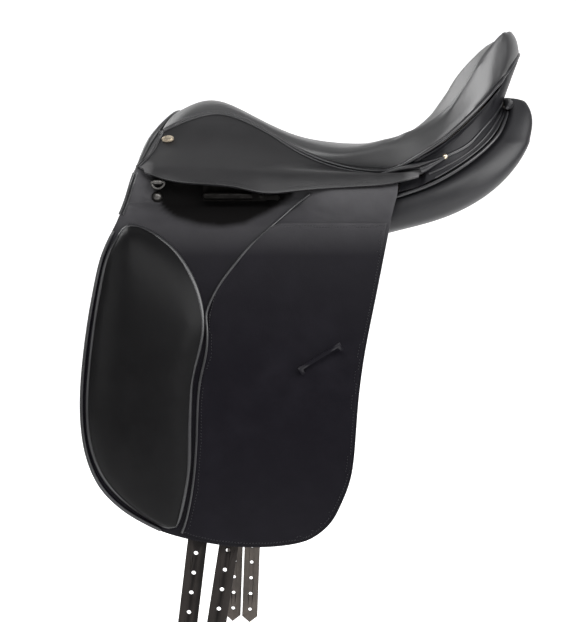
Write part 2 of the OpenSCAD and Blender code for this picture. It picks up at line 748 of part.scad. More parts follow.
module stirrup_bar_rivets() {
    head_d = 2 * rivet_d;
    low = bar_flange_z - bar_plate_t;
    high = rail_flat_z + rail_h / 2;
    color(steel) both_sides()
        for (x = rail_flat_x) translate([station([x, 0, 0])[0], rail_path[1][1], 0]) {
            translate([0, 0, low - 1]) cylinder(d = rivet_d, h = high - low + 2, $fn = 32);
            translate([0, 0, high + gap]) domed_stud(head_d, rivet_d / 2);
            translate([0, 0, low - gap]) mirror([0, 0, 1]) domed_stud(head_d, rivet_d / 2);
        }
}

lever_reach = bar_slot + 0.6 * bar_d;

module lever_pins() {
    inner_y = bar_face_y - gap;
    outer_y = bar_face_y - bar_plate_t - lever_reach - 2 * gap;
    color(steel) both_sides() translate([lever_x, inner_y, bar_z]) rotate([90, 0, 0]) {
        cylinder(d = lever_pin_d, h = inner_y - outer_y, $fn = 32);
        translate([0, 0, inner_y - outer_y]) domed_stud(1.7 * lever_pin_d, 1.5);
    }
}

module thumb_lever(s) {
    y1 = bar_face_y - bar_plate_t - gap;
    color(steel) on_side(s) translate([lever_x, y1, bar_z]) rotate([90, 0, 0]) difference() {
        linear_extrude(lever_reach - gap) {
            circle(d = lever_knuckle_d, $fn = 48);
            translate([0, -lever_knuckle_d / 2]) square([lever_length - lever_tip_r, lever_arm_t]);
            translate([lever_length - lever_tip_r, (lever_arm_t - lever_knuckle_d) / 2])
                circle(lever_tip_r, $fn = 32);
        }
        translate([0, 0, -1]) cylinder(d = lever_pin_d + pin_play, h = lever_reach + 2, $fn = 32);
    }
}

module thumb_lever_left() { thumb_lever(-1); }
module thumb_lever_right() { thumb_lever(1); }

// Flaps

function ease(t) = let (c = min(max(t, 0), 1)) c * c * (3 - 2 * c);
function hollow(u) =
    ease((u - hollow_span[0]) / (hollow_span[1] - hollow_span[0]))
    * ease((hollow_span[3] - u) / (hollow_span[3] - hollow_span[2]));

function flap_top_point(v, u) =
    let (
        r = spline(flap_top_rows, v),
        x = lerp(r[3], r[4], u) * seat_length / design_seat_length,
        recess = r[1] + r[2] * hollow(u),
        rise = flap_top_rise * (1 - v) * max(0, 1 - pow(u / flap_top_rise_end, 2)),
        behind_bar = hollow(u) * ease((u - drop_span[0]) / (drop_span[1] - drop_span[0])),
        drop = hollow_drop * behind_bar * max(0, 1 - len(flap_top_rows) * v)
    )
    [x, -(flap_half_w_top - recess - front_turn(x)), r[0] + rise - drop];

module flap_top(s) {
    g = grid(8, 14, function(v, u) flap_top_point(v, u));
    color(black) on_side(s) slab(moved(g, skirt_t), g);
}

module flap_top_left() { flap_top(-1); }
module flap_top_right() { flap_top(1); }

// Leather lying on the side surface between two distances from it
module side_leather(xz, rows, columns, inner_out, outer_out) {
    slab(
        grid(rows, columns, function(v, u) side_point(xz(v, u), outer_out(v, u))),
        grid(rows, columns, function(v, u) side_point(xz(v, u), inner_out))
    );
}

module flap(s) {
    color(black) on_side(s)
        side_leather(function(v, u) flap_xz(v, u), 12, 12, 0, function(v, u) flap_t);
}

module flap_left() { flap(-1); }
module flap_right() { flap(1); }

module knee_pad(s) {
    base = flap_t + gap;
    function height(v, u) = base + pad_edge + pad_crown * pow(sin(180 * u), 0.55) * pow(sin(180 * v), 0.4);
    color(black) on_side(s)
        side_leather(function(v, u) pad_xz(v, u), 18, 10, base, function(v, u) height(v, u));
}

module knee_pad_left() { knee_pad(-1); }
module knee_pad_right() { knee_pad(1); }

module flap_overlay(s) {
    base = flap_t + 2 * gap;
    color(black) on_side(s)
        side_leather(function(v, u) overlay_xz(v, u), 12, 8, base, function(v, u) base + overlay_t);
}

module flap_overlay_left() { flap_overlay(-1); }
module flap_overlay_right() { flap_overlay(1); }

module keeper(s) {
    out = flap_t + 3 * gap + overlay_t + slide;
    foot = [keeper_foot[0] * seat_length / design_seat_length, keeper_foot[1]];
    head = foot + keeper_length * [cos(keeper_slope), sin(keeper_slope)];
    face_y = min(side_y(foot[0], foot[1], out), side_y(head[0], head[1], out));
    strap_t = 2;
    leg = 9;
    depth = keeper_gap + strap_t;
    color(black) on_side(s) translate([foot[0], face_y, foot[1]]) rotate([0, -keeper_slope, 0]) {
        translate([0, -depth, -keeper_w / 2]) cube([keeper_length, strap_t, keeper_w]);
        for (x = [0, keeper_length - keeper_w])
            translate([x, -depth, keeper_w / 2 - leg]) cube([keeper_w, depth, leg]);
    }
}

module keeper_left() { keeper(-1); }
module keeper_right() { keeper(1); }

module flap_piping(s) {
    edge = concat(flap_front, [for (i = [1:2]) flap_bottom[i]]);
    function on_edge(t) = inset_point(spline(edge, t), flap_piping_r + 0.5);
    curve = [for (i = [1:26]) side_point(on_edge(i / 26), flap_t + flap_piping_r + gap)];
    color(black) on_side(s) tube(curve, flap_piping_r, 8, [0, 1, 0]);
}

module flap_piping_left() { flap_piping(-1); }
module flap_piping_right() { flap_piping(1); }

function sweat_xz(v, u) =
    let (q = inset_point(flap_xz(v, u), sweat_inset)) [q[0], min(q[1], lerp(sweat_top_z, q[1], v))];

module sweat_flap(s) {
    color(black) on_side(s) side_leather(
        function(v, u) sweat_xz(v, u), 8, 8, sweat_out - sweat_t, function(v, u) sweat_out);
}

module sweat_flap_left() { sweat_flap(-1); }
module sweat_flap_right() { sweat_flap(1); }

// Panels

module panel(s) {
    color(black) on_side(s) loft([for (i = [0:30]) panel_ring(i / 30)]);
}

module panel_left() { panel(-1); }
module panel_right() { panel(1); }

module panel_piping() {
    curve = [for (i = [0:16]) panel_piping_point(lerp(piping_span[0], piping_span[1], i / 16))];
    color(black) both_sides() tube(curve, panel_piping_r);
}

// Studs and dees

function skirt_normal(v, u) =
    let (
        d = 0.02,
        down = skirt_point(v + d, u) - skirt_point(v - d, u),
        back = skirt_point(v, u + d) - skirt_point(v, u - d)
    )
    unit(cross(down, back));

module pommel_studs() {
    p = skirt_point(oval_stud_v, oval_stud_u);
    n = skirt_normal(oval_stud_v, oval_stud_u);
    color(brass) both_sides() along(p + n * 2 * gap, n) {
        ellipse_plate(oval_stud_w, oval_stud_l, 2);
        translate([0, 0, 2]) ellipse_plate(oval_stud_w - 4, oval_stud_l - 4, 0.8);
    }
}

module rear_studs() {
    color(brass) both_sides() along(facing_top[2] - [0, gap, 0], [0, -1, 0])
        domed_stud(rear_stud_d, 2.5);
}

// Outer face of the flap top at the domed stud's place along it and a height z
flap_stud_u = 0.12;
function flap_top_face(z) =
    let (
        down = [for (i = [0:40]) flap_top_point(i / 40, flap_stud_u)],
        over = [for (p = down) if (p[2] >= z) p]
    )
    last(over)[1] - skirt_t;

module flap_studs() {
    y = flap_top_face(flap_stud_at[2]) - slide - gap;
    color(steel) both_sides() along([flap_stud_at[0], y, flap_stud_at[2]], [0, -1, 0])
        domed_stud(flap_stud_d, 4.5);
}

dee_r = (dee_w - dee_wire_d) / 2;
dee_loop_d = dee_wire_d + pin_play + 3;
dee_plate_l = 10.8;

module dee_plate(s) {
    color(steel) on_side(s) translate(dee_at) difference() {
        union() {
            rotate([0, 90, 0]) cylinder(d = dee_loop_d, h = dee_w / 2, center = true, $fn = 48);
            translate([-dee_w / 4, 0, -dee_loop_d / 2]) cube([dee_w / 2, dee_plate_l, dee_loop_d]);
        }
        rotate([0, 90, 0]) cylinder(d = dee_wire_d + pin_play, h = dee_w, center = true, $fn = 48);
    }
}

module dee_plate_left() { dee_plate(-1); }
module dee_plate_right() { dee_plate(1); }

module dee(s) {
    color(steel) on_side(s) translate(dee_at) {
        rotate([0, 90, 0]) cylinder(d = dee_wire_d, h = 2 * dee_r, center = true, $fn = 48);
        rotate([90, 180, 0]) rotate_extrude(angle = 180, $fn = 64) translate([dee_r, 0])
            circle(d = dee_wire_d, $fn = 32);
    }
}

module dee_left() { dee(-1); }
module dee_right() { dee(1); }

// Billets

billet_rows = 18;
function billet_face(out) = [for (i = [0:billet_rows])
    let (z = lerp(billet_top_z, billet_hang_z, i / billet_rows)) [side_y(flap_mid_x, z, out), z]];

module billet(k) {
    spot = billet_spots[k];
    face = billet_face(billet_out[k % 2]);
    hang_y = last(face)[0];
    pivot_x = spot[0] * seat_length / design_seat_length - tan(spot[1]) * (flap_bottom_z - billet_pivot_z);
    outer = concat(face, [[hang_y, billet_tip_z]]);
    profile = concat(outer, [for (p = reversed(outer)) [p[0] + billet_t, p[1]]]);
    color(grey_black) on_side(spot[2]) translate([pivot_x, 0, billet_pivot_z]) rotate([0, spot[1], 0])
        translate([0, 0, -billet_pivot_z]) difference() {
            translate([-billet_w / 2, 0, 0]) rotate([90, 0, 90]) linear_extrude(billet_w) polygon(profile);
            for (i = [0:hole_count - 1])
                translate([0, hang_y - 1, billet_first_hole_z - i * hole_pitch]) rotate([-90, 0, 0])
                    cylinder(d = hole_d, h = billet_t + 2, $fn = 32);
            for (m = [0, 1]) mirror([m, 0, 0])
                translate([0, hang_y - 1, billet_tip_z]) rotate([0, -40, 0])
                    translate([0, 0, -billet_w]) cube([2 * billet_w, billet_t + 2, billet_w]);
        }
}

module billet_left_front() { billet(0); }
module billet_left_rear() { billet(1); }
module billet_right_front() { billet(2); }
module billet_right_rear() { billet(3); }

tree_frame();
tree_head();
gullet_plate();
spring_steel_left();
spring_steel_right();
tree_rivets();
seat_webs();
cross_web();
girth_web_left();
girth_web_right();
seat_foam();
seat_cover();
seat_welt();
cantle_back();
pommel_facing();
front_arch_piping();
rear_facing_left();
rear_facing_right();
skirt_top_left();
skirt_top_right();
skirt_left();
skirt_right();
stirrup_bar_left();
stirrup_bar_right();
stirrup_bar_rivets();
lever_pins();
thumb_lever_left();
thumb_lever_right();
flap_top_left();
flap_top_right();
flap_left();
flap_right();
knee_pad_left();
knee_pad_right();
flap_overlay_left();
flap_overlay_right();
keeper_left();
keeper_right();
flap_piping_left();
flap_piping_right();
sweat_flap_left();
sweat_flap_right();
panel_left();
panel_right();
panel_piping();
pommel_studs();
rear_studs();
flap_studs();
dee_plate_left();
dee_plate_right();
dee_left();
dee_right();
billet_left_front();
billet_left_rear();
billet_right_front();
billet_right_rear();
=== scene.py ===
"""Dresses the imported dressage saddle: leather sheets, stuffed pads, stitching, metal and a plain studio."""

import json
import logging
import math
from contextlib import contextmanager
from dataclasses import dataclass
from enum import Enum
from functools import cache
from itertools import product
from typing import Callable, Iterable, Iterator, Optional, Sequence, Union

import bmesh
import bpy
import numpy as np
from bmesh.types import BMesh
from bpy.types import ID, Material, Mesh, NodeSocket, Object
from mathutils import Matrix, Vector
from mathutils.kdtree import KDTree


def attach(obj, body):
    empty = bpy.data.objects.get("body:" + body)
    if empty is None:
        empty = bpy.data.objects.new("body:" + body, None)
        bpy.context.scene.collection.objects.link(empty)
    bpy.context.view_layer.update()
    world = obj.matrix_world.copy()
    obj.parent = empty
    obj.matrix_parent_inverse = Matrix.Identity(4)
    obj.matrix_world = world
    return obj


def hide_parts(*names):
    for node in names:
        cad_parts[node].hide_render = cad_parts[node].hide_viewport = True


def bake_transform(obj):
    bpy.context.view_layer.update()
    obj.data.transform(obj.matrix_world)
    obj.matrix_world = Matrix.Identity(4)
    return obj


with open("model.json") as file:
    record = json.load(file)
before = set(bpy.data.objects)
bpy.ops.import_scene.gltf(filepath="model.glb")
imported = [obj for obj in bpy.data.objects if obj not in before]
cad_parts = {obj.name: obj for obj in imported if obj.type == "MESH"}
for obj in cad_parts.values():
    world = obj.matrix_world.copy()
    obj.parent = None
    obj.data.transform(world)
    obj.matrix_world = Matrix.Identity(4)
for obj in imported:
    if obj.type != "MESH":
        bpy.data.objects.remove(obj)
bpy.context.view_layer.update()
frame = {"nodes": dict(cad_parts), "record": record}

LOG = logging.getLogger("saddle")
MM = 0.001
ROOT = "saddle_body"
PHOTO_HEIGHT_PX = 622
Number = Union[float, "Value"]
Colour = tuple[float, float, float]
Spot = tuple[float, float, float]
# A cord's points for the right side: x, y, z and radius in millimetres
CordSpots = Sequence[tuple[float, float, float, float]]


class Side(Enum):
    """The saddle's two sides, as the sign of Y."""

    LEFT = -1
    RIGHT = 1

    @property
    def word(self) -> str:
        """The side as it stands in node names."""
        return self.name.lower()

    @property
    def outward(self) -> Vector:
        """Direction away from the horse on this side."""
        return Vector((0, self.value, 0))

    def place(self, x: float, y: float, z: float) -> Vector:
        """A point given in millimetres for the right side, put on this side, in metres."""
        return Vector((x, self.value * y, z)) * MM

    def cord(self, spots: CordSpots) -> list[tuple[Vector, float]]:
        """A cord's points on this side, in metres, each with its radius in millimetres."""
        return [(self.place(x, y, z), radius) for x, y, z, radius in spots]


class Element(Enum):
    """What is selected in edit mode, as Blender calls it."""

    POINT = "VERT"
    EDGE = "EDGE"


class Leaf(Enum):
    """The two sheets of a side that bend along a line, as they stand in node names."""

    SKIRT = "skirt"
    FLAP = "flap"


# Shader graphs


@dataclass
class Value:
    """A socket that takes part in arithmetic, each operation adding its Math node."""

    graph: "Graph"
    socket: NodeSocket

    def _join(self, operation: str, a: Number, b: Number) -> "Value":
        """Add a Math node.

        Args:
            operation: the node's operation.
            a: first operand.
            b: second operand.

        Returns:
            The node's result.
        """
        return self.graph.node("ShaderNodeMath", {"operation": operation}, {0: a, 1: b})

    def __add__(self, other: Number) -> "Value":
        """Sum."""
        return self._join("ADD", self, other)

    def __radd__(self, other: Number) -> "Value":
        """Sum with a number on the left."""
        return self._join("ADD", other, self)

    def __sub__(self, other: Number) -> "Value":
        """Difference."""
        return self._join("SUBTRACT", self, other)

    def __rsub__(self, other: Number) -> "Value":
        """Difference with a number on the left."""
        return self._join("SUBTRACT", other, self)

    def __mul__(self, other: Number) -> "Value":
        """Product."""
        return self._join("MULTIPLY", self, other)

    def __rmul__(self, other: Number) -> "Value":
        """Product with a number on the left."""
        return self._join("MULTIPLY", other, self)


class Graph:
    """The node tree of one material."""

    def __init__(self, name: str) -> None:
        """Start a material with an empty Principled shader.

        Args:
            name: name of the material.
        """
        self.material = bpy.data.materials.new(name)
        self.material.use_nodes = True
        self.tree = self.material.node_tree
        self.shader = self.tree.nodes["Principled BSDF"]

    def feed(self, socket: NodeSocket, value: object) -> None:
        """Set a socket to a constant, or link it to a value.

        Args:
            socket: input socket.
            value: number, colour, vector or Value.
        """
        if isinstance(value, Value):
            self.tree.links.new(value.socket, socket)
        elif isinstance(value, tuple) and len(value) == 3 and socket.type == "RGBA":
            socket.default_value = (*value, 1.0)
        else:
            socket.default_value = value

    def node(self, kind: str, settings: dict, inputs: dict, output: Union[int, str] = 0) -> Value:
        """Add a node.

        Args:
            kind: Blender's node type.
            settings: properties set before the sockets are.
            inputs: socket name or number to value.
            output: the output to return.

        Returns:
            The chosen output.
        """
        made = self.tree.nodes.new(kind)
        for key, setting in settings.items():
            setattr(made, key, setting)
        for key, value in inputs.items():
            self.feed(made.inputs[key], value)
        return Value(self, made.outputs[output])

    def place(self, stretch: Spot = (1, 1, 1)) -> Value:
        """Object coordinates, stretched along the axes."""
        at = self.node("ShaderNodeTexCoord", {}, {}, "Object")
        return self.node("ShaderNodeMapping", {}, {"Vector": at, "Scale": stretch})

    def noise(self, scale: float, detail: float = 3, rough: float = 0.5, at: Optional[Value] = None) -> Value:
        """Noise from 0 to 1 with cells of about 1/scale metres.

        Args:
            scale: cells to a metre.
            detail: number of finer layers.
            rough: weight of the finer layers.
            at: coordinates, the object's if left out.

        Returns:
            The noise.
        """
        where = at or self.place()
        return self.node("ShaderNodeTexNoise", {},
                         {"Vector": where, "Scale": scale, "Detail": detail, "Roughness": rough})

    def cells(self, scale: float, feature: str = "F1") -> Value:
        """Distance field of scattered cells."""
        return self.node("ShaderNodeTexVoronoi", {"feature": feature},
                         {"Vector": self.place(), "Scale": scale})

    def span(self, value: Value, low: float, high: float, to_low: float = 0, to_high: float = 1) -> Value:
        """Value mapped from one range to another and held inside it."""
        return self.node("ShaderNodeMapRange", {"clamp": True},
                         {0: value, 1: low, 2: high, 3: to_low, 4: to_high})

    def mix(self, share: Number, a: object, b: object) -> Value:
        """Colour between a and b.

        Args:
            share: 0 for a, 1 for b.
            a: first colour.
            b: second colour.

        Returns:
            The colour.
        """
        made = self.tree.nodes.new("ShaderNodeMix")
        made.data_type = "RGBA"
        colour_in = [s for s in made.inputs if s.type == "RGBA"]
        self.feed(made.inputs[0], share)
        self.feed(colour_in[0], a)
        self.feed(colour_in[1], b)
        return Value(self, next(s for s in made.outputs if s.type == "RGBA"))

    def attribute(self, name: str) -> Value:
        """Number stored on the mesh's points."""
        return self.node("ShaderNodeAttribute", {"attribute_name": name}, {}, "Fac")

    def bump(self, height: Value, depth: float) -> Value:
        """Normal turned by a height in metres times depth."""
        return self.node("ShaderNodeBump", {}, {"Height": height, "Distance": depth, "Strength": 1})

    def height(self) -> Value:
        """Height in the object's frame, in metres."""
        at = self.node("ShaderNodeTexCoord", {}, {}, "Object")
        return self.node("ShaderNodeSeparateXYZ", {}, {0: at}, "Z")

    def line(self, share: Value, tone: Colour) -> None:
        """Paint shade: mix the finish towards a dull, near-black surface.

        Args:
            share: 0 for the finish, 1 for the painted shade.
            tone: colour of the painted shade.
        """
        dull = self.node("ShaderNodeBsdfPrincipled", {},
                         {"Base Color": tone, "Roughness": 0.95, "Specular IOR Level": 0.05})
        both = self.node("ShaderNodeMixShader", {},
                         {0: share, 1: Value(self, self.shader.outputs[0]), 2: dull})
        self.feed(self.tree.nodes["Material Output"].inputs["Surface"], both)

    def dress(self, **inputs: object) -> Material:
        """Feed the Principled shader, underscores standing for spaces, and return the material.

        Args:
            inputs: value of each socket.

        Returns:
            The material.
        """
        for key, value in inputs.items():
            self.feed(self.shader.inputs[key.replace("_", " ")], value)
        return self.material


# Finishes


@dataclass(frozen=True)
class Finish:
    """A named look that can build its material."""

    name: str

    def material(self) -> Material:
        """Build the node material.

        Returns:
            The material.
        """
        raise NotImplementedError


@dataclass(frozen=True)
class Leather(Finish):
    """A leather finish: dyed grain, polish, edges rubbed paler, and a painted sheen that grows towards the
    top.

    Attributes:
        dye: colour of the leather.
        worn: colour of rubbed edges and of the painted sheen towards the top.
        roughness: roughness between the patches.
        grain: size of the grain in millimetres.
        grain_depth: its depth in millimetres.
        coat: weight of the polish.
        coat_roughness: roughness of the polish.
        wear: share of the rubbed colour at edges.
        specular: strength of the plain reflection.
        faded: heights in metres between which the painted sheen grows.
        fading: share of the painted sheen's colour above them.
        lined: whether the recess behind the stirrup bar gets painted shade.
    """

    dye: Colour
    worn: Colour
    roughness: float
    grain: float
    grain_depth: float
    coat: float = 0.25
    coat_roughness: float = 0.35
    wear: float = 0.6
    specular: float = 0.5
    faded: tuple[float, float] = (1.0, 2.0)
    fading: float = 0.0
    lined: bool = False

    def material(self) -> Material:
        """Build the node material.

        Returns:
            The material.
        """
        g = Graph(self.name)
        broad = g.noise(9, 4, 0.55)
        patch = g.noise(38, 5, 0.6)
        fine = g.noise(1 / (0.35 * self.grain * MM), 2)
        pebble = g.cells(1 / (self.grain * MM), "SMOOTH_F1")
        crease = g.span(g.noise(60, 6, 0.7, g.place((1, 1, 0.35))), 0.47, 0.53)
        edge = g.attribute("edge")
        # Rubbed edges grow paler; on the skirt the broad pale band also stands for a painted highlight
        rubbed = g.span(edge * (0.55 + patch), 0.35, 1.05) * self.wear
        dusty = g.span(broad * patch, 0.2, 0.42) * 0.35
        # Painted sheen: the colour grows paler from the lower to the upper of two heights
        sheen_share = g.span(g.height(), *self.faded)
        pale = rubbed + sheen_share * (0.7 + patch * 0.6) * self.fading
        colour = g.mix(pale, g.mix(dusty, self.dye, tuple(1.7 * c for c in self.dye)), self.worn)
        rough = self.roughness + (patch - 0.5) * 0.16 + (broad - 0.5) * 0.14 + rubbed * 0.12
        height = pebble * 0.75 + fine * 0.3 + crease * 0.35
        made = g.dress(Base_Color=colour, Roughness=rough, Normal=g.bump(height, self.grain_depth * MM),
                       Coat_Weight=g.span(patch, 0.3, 0.7, 0.6 * self.coat, self.coat),
                       Coat_Roughness=self.coat_roughness, Specular_IOR_Level=self.specular)
        # Painted shade: the recess behind the stirrup bar is mixed to a dull near-black.
        if self.lined:
            g.line(g.attribute("recess"), RECESS_SHADE)
        return made


@dataclass(frozen=True)
class FleshSide(Finish):
    """The undyed, fibrous inner side of strap leather."""

    tone: Colour
    dark: Colour

    def material(self) -> Material:
        """Build the node material.

        Returns:
            The material.
        """
        g = Graph(self.name)
        fibre = g.noise(900, 6, 0.75, g.place((1, 1, 0.25)))
        stain = g.noise(25, 4)
        colour = g.mix(g.span(stain, 0.35, 0.7), self.tone, self.dark)
        return g.dress(Base_Color=g.mix(g.span(fibre, 0.3, 0.8) * 0.5, colour, self.dark),
                       Roughness=0.75 + fibre * 0.2, Normal=g.bump(fibre, 0.25 * MM))


@dataclass(frozen=True)
class Metal(Finish):
    """A worked metal: fine scratches, dull patches and a bright or brown tone."""

    tone: Colour
    tarnish: Colour
    roughness: float

    def material(self) -> Material:
        """Build the node material.

        Returns:
            The material.
        """
        g = Graph(self.name)
        scratch = g.noise(700, 4, 0.6, g.place((0.15, 1, 1)))
        dull = g.span(g.noise(120, 5, 0.65), 0.42, 0.72)
        return g.dress(Base_Color=g.mix(dull, self.tone, self.tarnish), Metallic=1.0,
                       Roughness=self.roughness + dull * 0.22 + (scratch - 0.5) * 0.1,
                       Normal=g.bump(scratch, 0.02 * MM))


@dataclass(frozen=True)
class Beech(Finish):
    """Laminated beech of the tree."""

    pale: Colour
    dark: Colour

    def material(self) -> Material:
        """Build the node material.

        Returns:
            The material.
        """
        g = Graph(self.name)
        grain = g.noise(220, 8, 0.65, g.place((0.08, 1, 1)))
        ply = g.node("ShaderNodeTexWave", {"bands_direction": "Z"},
                     {"Vector": g.place(), "Scale": 160.0, "Distortion": 1.5, "Detail": 2.0})
        shade = g.span(grain, 0.35, 0.7) * 0.6 + g.span(ply, 0.8, 1) * 0.4
        return g.dress(Base_Color=g.mix(shade, self.pale, self.dark), Roughness=0.5 + grain * 0.2,
                       Normal=g.bump(grain, 0.2 * MM))


@dataclass(frozen=True)
class Webbing(Finish):
    """Woven linen web."""

    thread: Colour
    shadow: Colour

    def material(self) -> Material:
        """Build the node material.

        Returns:
            The material.
        """
        g = Graph(self.name)
        waves = [g.node("ShaderNodeTexWave", {"bands_direction": axis},
                        {"Vector": g.place(), "Scale": 190.0, "Distortion": 0.4}) for axis in "XZ"]
        weave = waves[0] * waves[1] + g.noise(800) * 0.3
        return g.dress(Base_Color=g.mix(g.span(weave, 0.1, 0.7), self.shadow, self.thread),
                       Roughness=0.9, Normal=g.bump(weave, 0.4 * MM))


@dataclass(frozen=True)
class Foam(Finish):
    """Open-celled seat foam under a dark felt."""

    tone: Colour
    pore: Colour

    def material(self) -> Material:
        """Build the node material.

        Returns:
            The material.
        """
        g = Graph(self.name)
        cells = g.cells(700)
        return g.dress(Base_Color=g.mix(g.span(cells, 0.1, 0.6), self.pore, self.tone),
                       Roughness=0.95, Normal=g.bump(cells, 0.5 * MM))


@dataclass(frozen=True)
class Thread(Finish):
    """Waxed sewing thread."""

    tone: Colour

    def material(self) -> Material:
        """Build the node material.

        Returns:
            The material.
        """
        g = Graph(self.name)
        twist = g.noise(1500, 2, 0.5, g.place((1, 1, 0.4)))
        return g.dress(Base_Color=g.mix(twist, self.tone, tuple(1.8 * c for c in self.tone)),
                       Roughness=0.45 + twist * 0.25)


# Colour of the painted shade in the recess behind the stirrup bar
RECESS_SHADE = (0.003, 0.0028, 0.0028)
BLACK = (0.0075, 0.0074, 0.0088)
GREY = (0.05, 0.049, 0.052)
# Pale colour of the skirt's rubbed edges, also a painted highlight along its lower edge
PALE_WEAR_AND_SHEEN = (0.15, 0.147, 0.15)
FINISHES = {finish.name: finish for finish in (
    Leather("seat_leather", (0.0085, 0.0085, 0.0095), GREY, roughness=0.42, grain=1.1, grain_depth=0.09,
            coat=0.35, specular=0.75),
    Leather("facing_leather", BLACK, GREY, roughness=0.46, grain=1.1, grain_depth=0.09,
            coat=0.06, specular=0.16),
    # Skirt: broad pale rubbed edges, partly wear and partly a painted highlight
    Leather("skirt_leather", (0.0076, 0.0074, 0.0082), PALE_WEAR_AND_SHEEN, roughness=0.42, grain=1.3, grain_depth=0.06,
            coat=0.08, wear=0.55, specular=0.36),
    # Flap: painted shade in the recess behind the stirrup bar, and a painted sheen that grows towards its top
    Leather("flap_leather", (0.0047, 0.0042, 0.0061), GREY, roughness=0.4, grain=1.2, grain_depth=0.07,
            coat=0.02, specular=0.06, faded=(-0.02, 0.05), fading=0.95, lined=True),
    Leather("pad_leather", (0.0045, 0.0044, 0.0047), GREY, roughness=0.4, grain=1.4, grain_depth=0.05,
            coat=0.03, coat_roughness=0.25, specular=0.06),
    Leather("piping_leather", BLACK, GREY, roughness=0.38, grain=1.0, grain_depth=0.04,
            coat=0.3, coat_roughness=0.3, wear=0.3),
    Leather("panel_leather", BLACK, GREY, roughness=0.48, grain=1.2, grain_depth=0.1,
            coat=0.1, specular=0.35),
    Leather("billet_leather", (0.007, 0.006, 0.0058), (0.03, 0.026, 0.024), roughness=0.5, grain=1.2,
            grain_depth=0.06, coat=0.03, specular=0.04),
    Metal("steel", (0.1, 0.096, 0.092), (0.04, 0.038, 0.036), roughness=0.34),
    Metal("stud_metal", (0.62, 0.54, 0.42), (0.4, 0.33, 0.25), roughness=0.24),
    Beech("tree_wood", (0.075, 0.048, 0.028), (0.035, 0.022, 0.013)),
    Webbing("webbing", (0.16, 0.14, 0.11), (0.07, 0.06, 0.045)),
    Foam("foam", (0.05, 0.047, 0.044), (0.025, 0.023, 0.021)),
)}
# Near-black steel for the stirrup bar, thumb lever and pins: painted shade of the pocket under the skirt
BAR_STEEL_IN_SHADE = Metal("forged_steel", (0.011, 0.0105, 0.01), (0.005, 0.0048, 0.0046), 0.42)
FLESH = FleshSide("strap_flesh", (0.075, 0.062, 0.052), (0.03, 0.025, 0.022))
THREAD = Thread("black_thread", (0.016, 0.016, 0.018))


@cache
def material_of(finish: Finish) -> Material:
    """The material of a finish, built once."""
    return finish.material()


# Workbench: meshes shaped with operators


def add_object(name: str, data: ID) -> Object:
    """Put a mesh, curve, light or camera into the scene.

    Args:
        name: name of the object.
        data: what it shows.

    Returns:
        The object.
    """
    obj = bpy.data.objects.new(name, data)
    bpy.context.scene.collection.objects.link(obj)
    return obj


def activate(obj: Object) -> None:
    """Make one object the only selected and active one.

    Args:
        obj: mesh object.
    """
    bpy.ops.object.select_all(action="DESELECT")
    obj.select_set(True)
    bpy.context.view_layer.objects.active = obj


@contextmanager
def editing(obj: Object, element: Element = Element.POINT, chosen: Iterable[int] = ()) -> Iterator[None]:
    """Edit mode on one object.

    Args:
        obj: mesh object.
        element: what is selected.
        chosen: numbers of the points or edges that are selected at the start.
    """
    activate(obj)
    bpy.ops.object.mode_set(mode="EDIT")
    bpy.ops.mesh.select_mode(type=element.value)
    bpy.ops.mesh.select_all(action="DESELECT")
    bpy.ops.object.mode_set(mode="OBJECT")
    numbered = obj.data.vertices if element is Element.POINT else obj.data.edges
    for i in chosen:
        numbered[i].select = True
    bpy.ops.object.mode_set(mode="EDIT")
    try:
        yield
    finally:
        bpy.ops.object.mode_set(mode="OBJECT")


def finish_with(obj: Object, kind: str, **settings: object) -> None:
    """Add a modifier, set it and apply it.

    Args:
        obj: mesh object.
        kind: modifier type.
        settings: its properties.
    """
    activate(obj)
    made = obj.modifiers.new(kind.lower(), kind)
    for key, value in settings.items():
        setattr(made, key, value)
    bpy.ops.object.modifier_apply(modifier=made.name)


def subdivide(obj: Object, levels: int) -> None:
    """Smooth a mesh by Catmull-Clark subdivision."""
    finish_with(obj, "SUBSURF", levels=levels, render_levels=levels)


def round_edges(obj: Object, width: float, segments: int = 2, angle: float = 50) -> None:
    """Bevel the edges that are sharper than an angle in degrees, to a width in millimetres."""
    finish_with(obj, "BEVEL", width=width * MM, segments=segments, limit_method="ANGLE",
                angle_limit=math.radians(angle), use_clamp_overlap=True)


def relax(obj: Object, chosen: Iterable[int], *passes: tuple[float, int]) -> None:
    """Even out some points of a mesh.

    Args:
        obj: mesh object.
        chosen: numbers of the points.
        passes: factor and repeats of each pass, in order.
    """
    with editing(obj, chosen=chosen):
        for factor, repeat in passes:
            bpy.ops.mesh.vertices_smooth(factor=factor, repeat=repeat)


def copy_node(node: str, name: str) -> Object:
    """Copy a CAD node's mesh as a merged, quad-led mesh.

    Args:
        node: CAD node.
        name: name of the new piece.

    Returns:
        The new object, at the origin.
    """
    mesh = frame["nodes"][node].data.copy()
    mesh.materials.clear()
    obj = add_object(name, mesh)
    with editing(obj):
        bpy.ops.mesh.select_all(action="SELECT")
        bpy.ops.mesh.remove_doubles(threshold=0.02 * MM)
        bpy.ops.mesh.customdata_custom_splitnormals_clear()
        bpy.ops.mesh.tris_convert_to_quads(face_threshold=math.radians(35), shape_threshold=math.radians(75))
    return obj


@contextmanager
def opened(mesh: Mesh) -> Iterator[BMesh]:
    """A copy of a mesh with its connections, freed at the end.

    Args:
        mesh: mesh to copy.

    Yields:
        The copy.
    """
    bm = bmesh.new()
    bm.from_mesh(mesh)
    try:
        yield bm
    finally:
        bm.free()


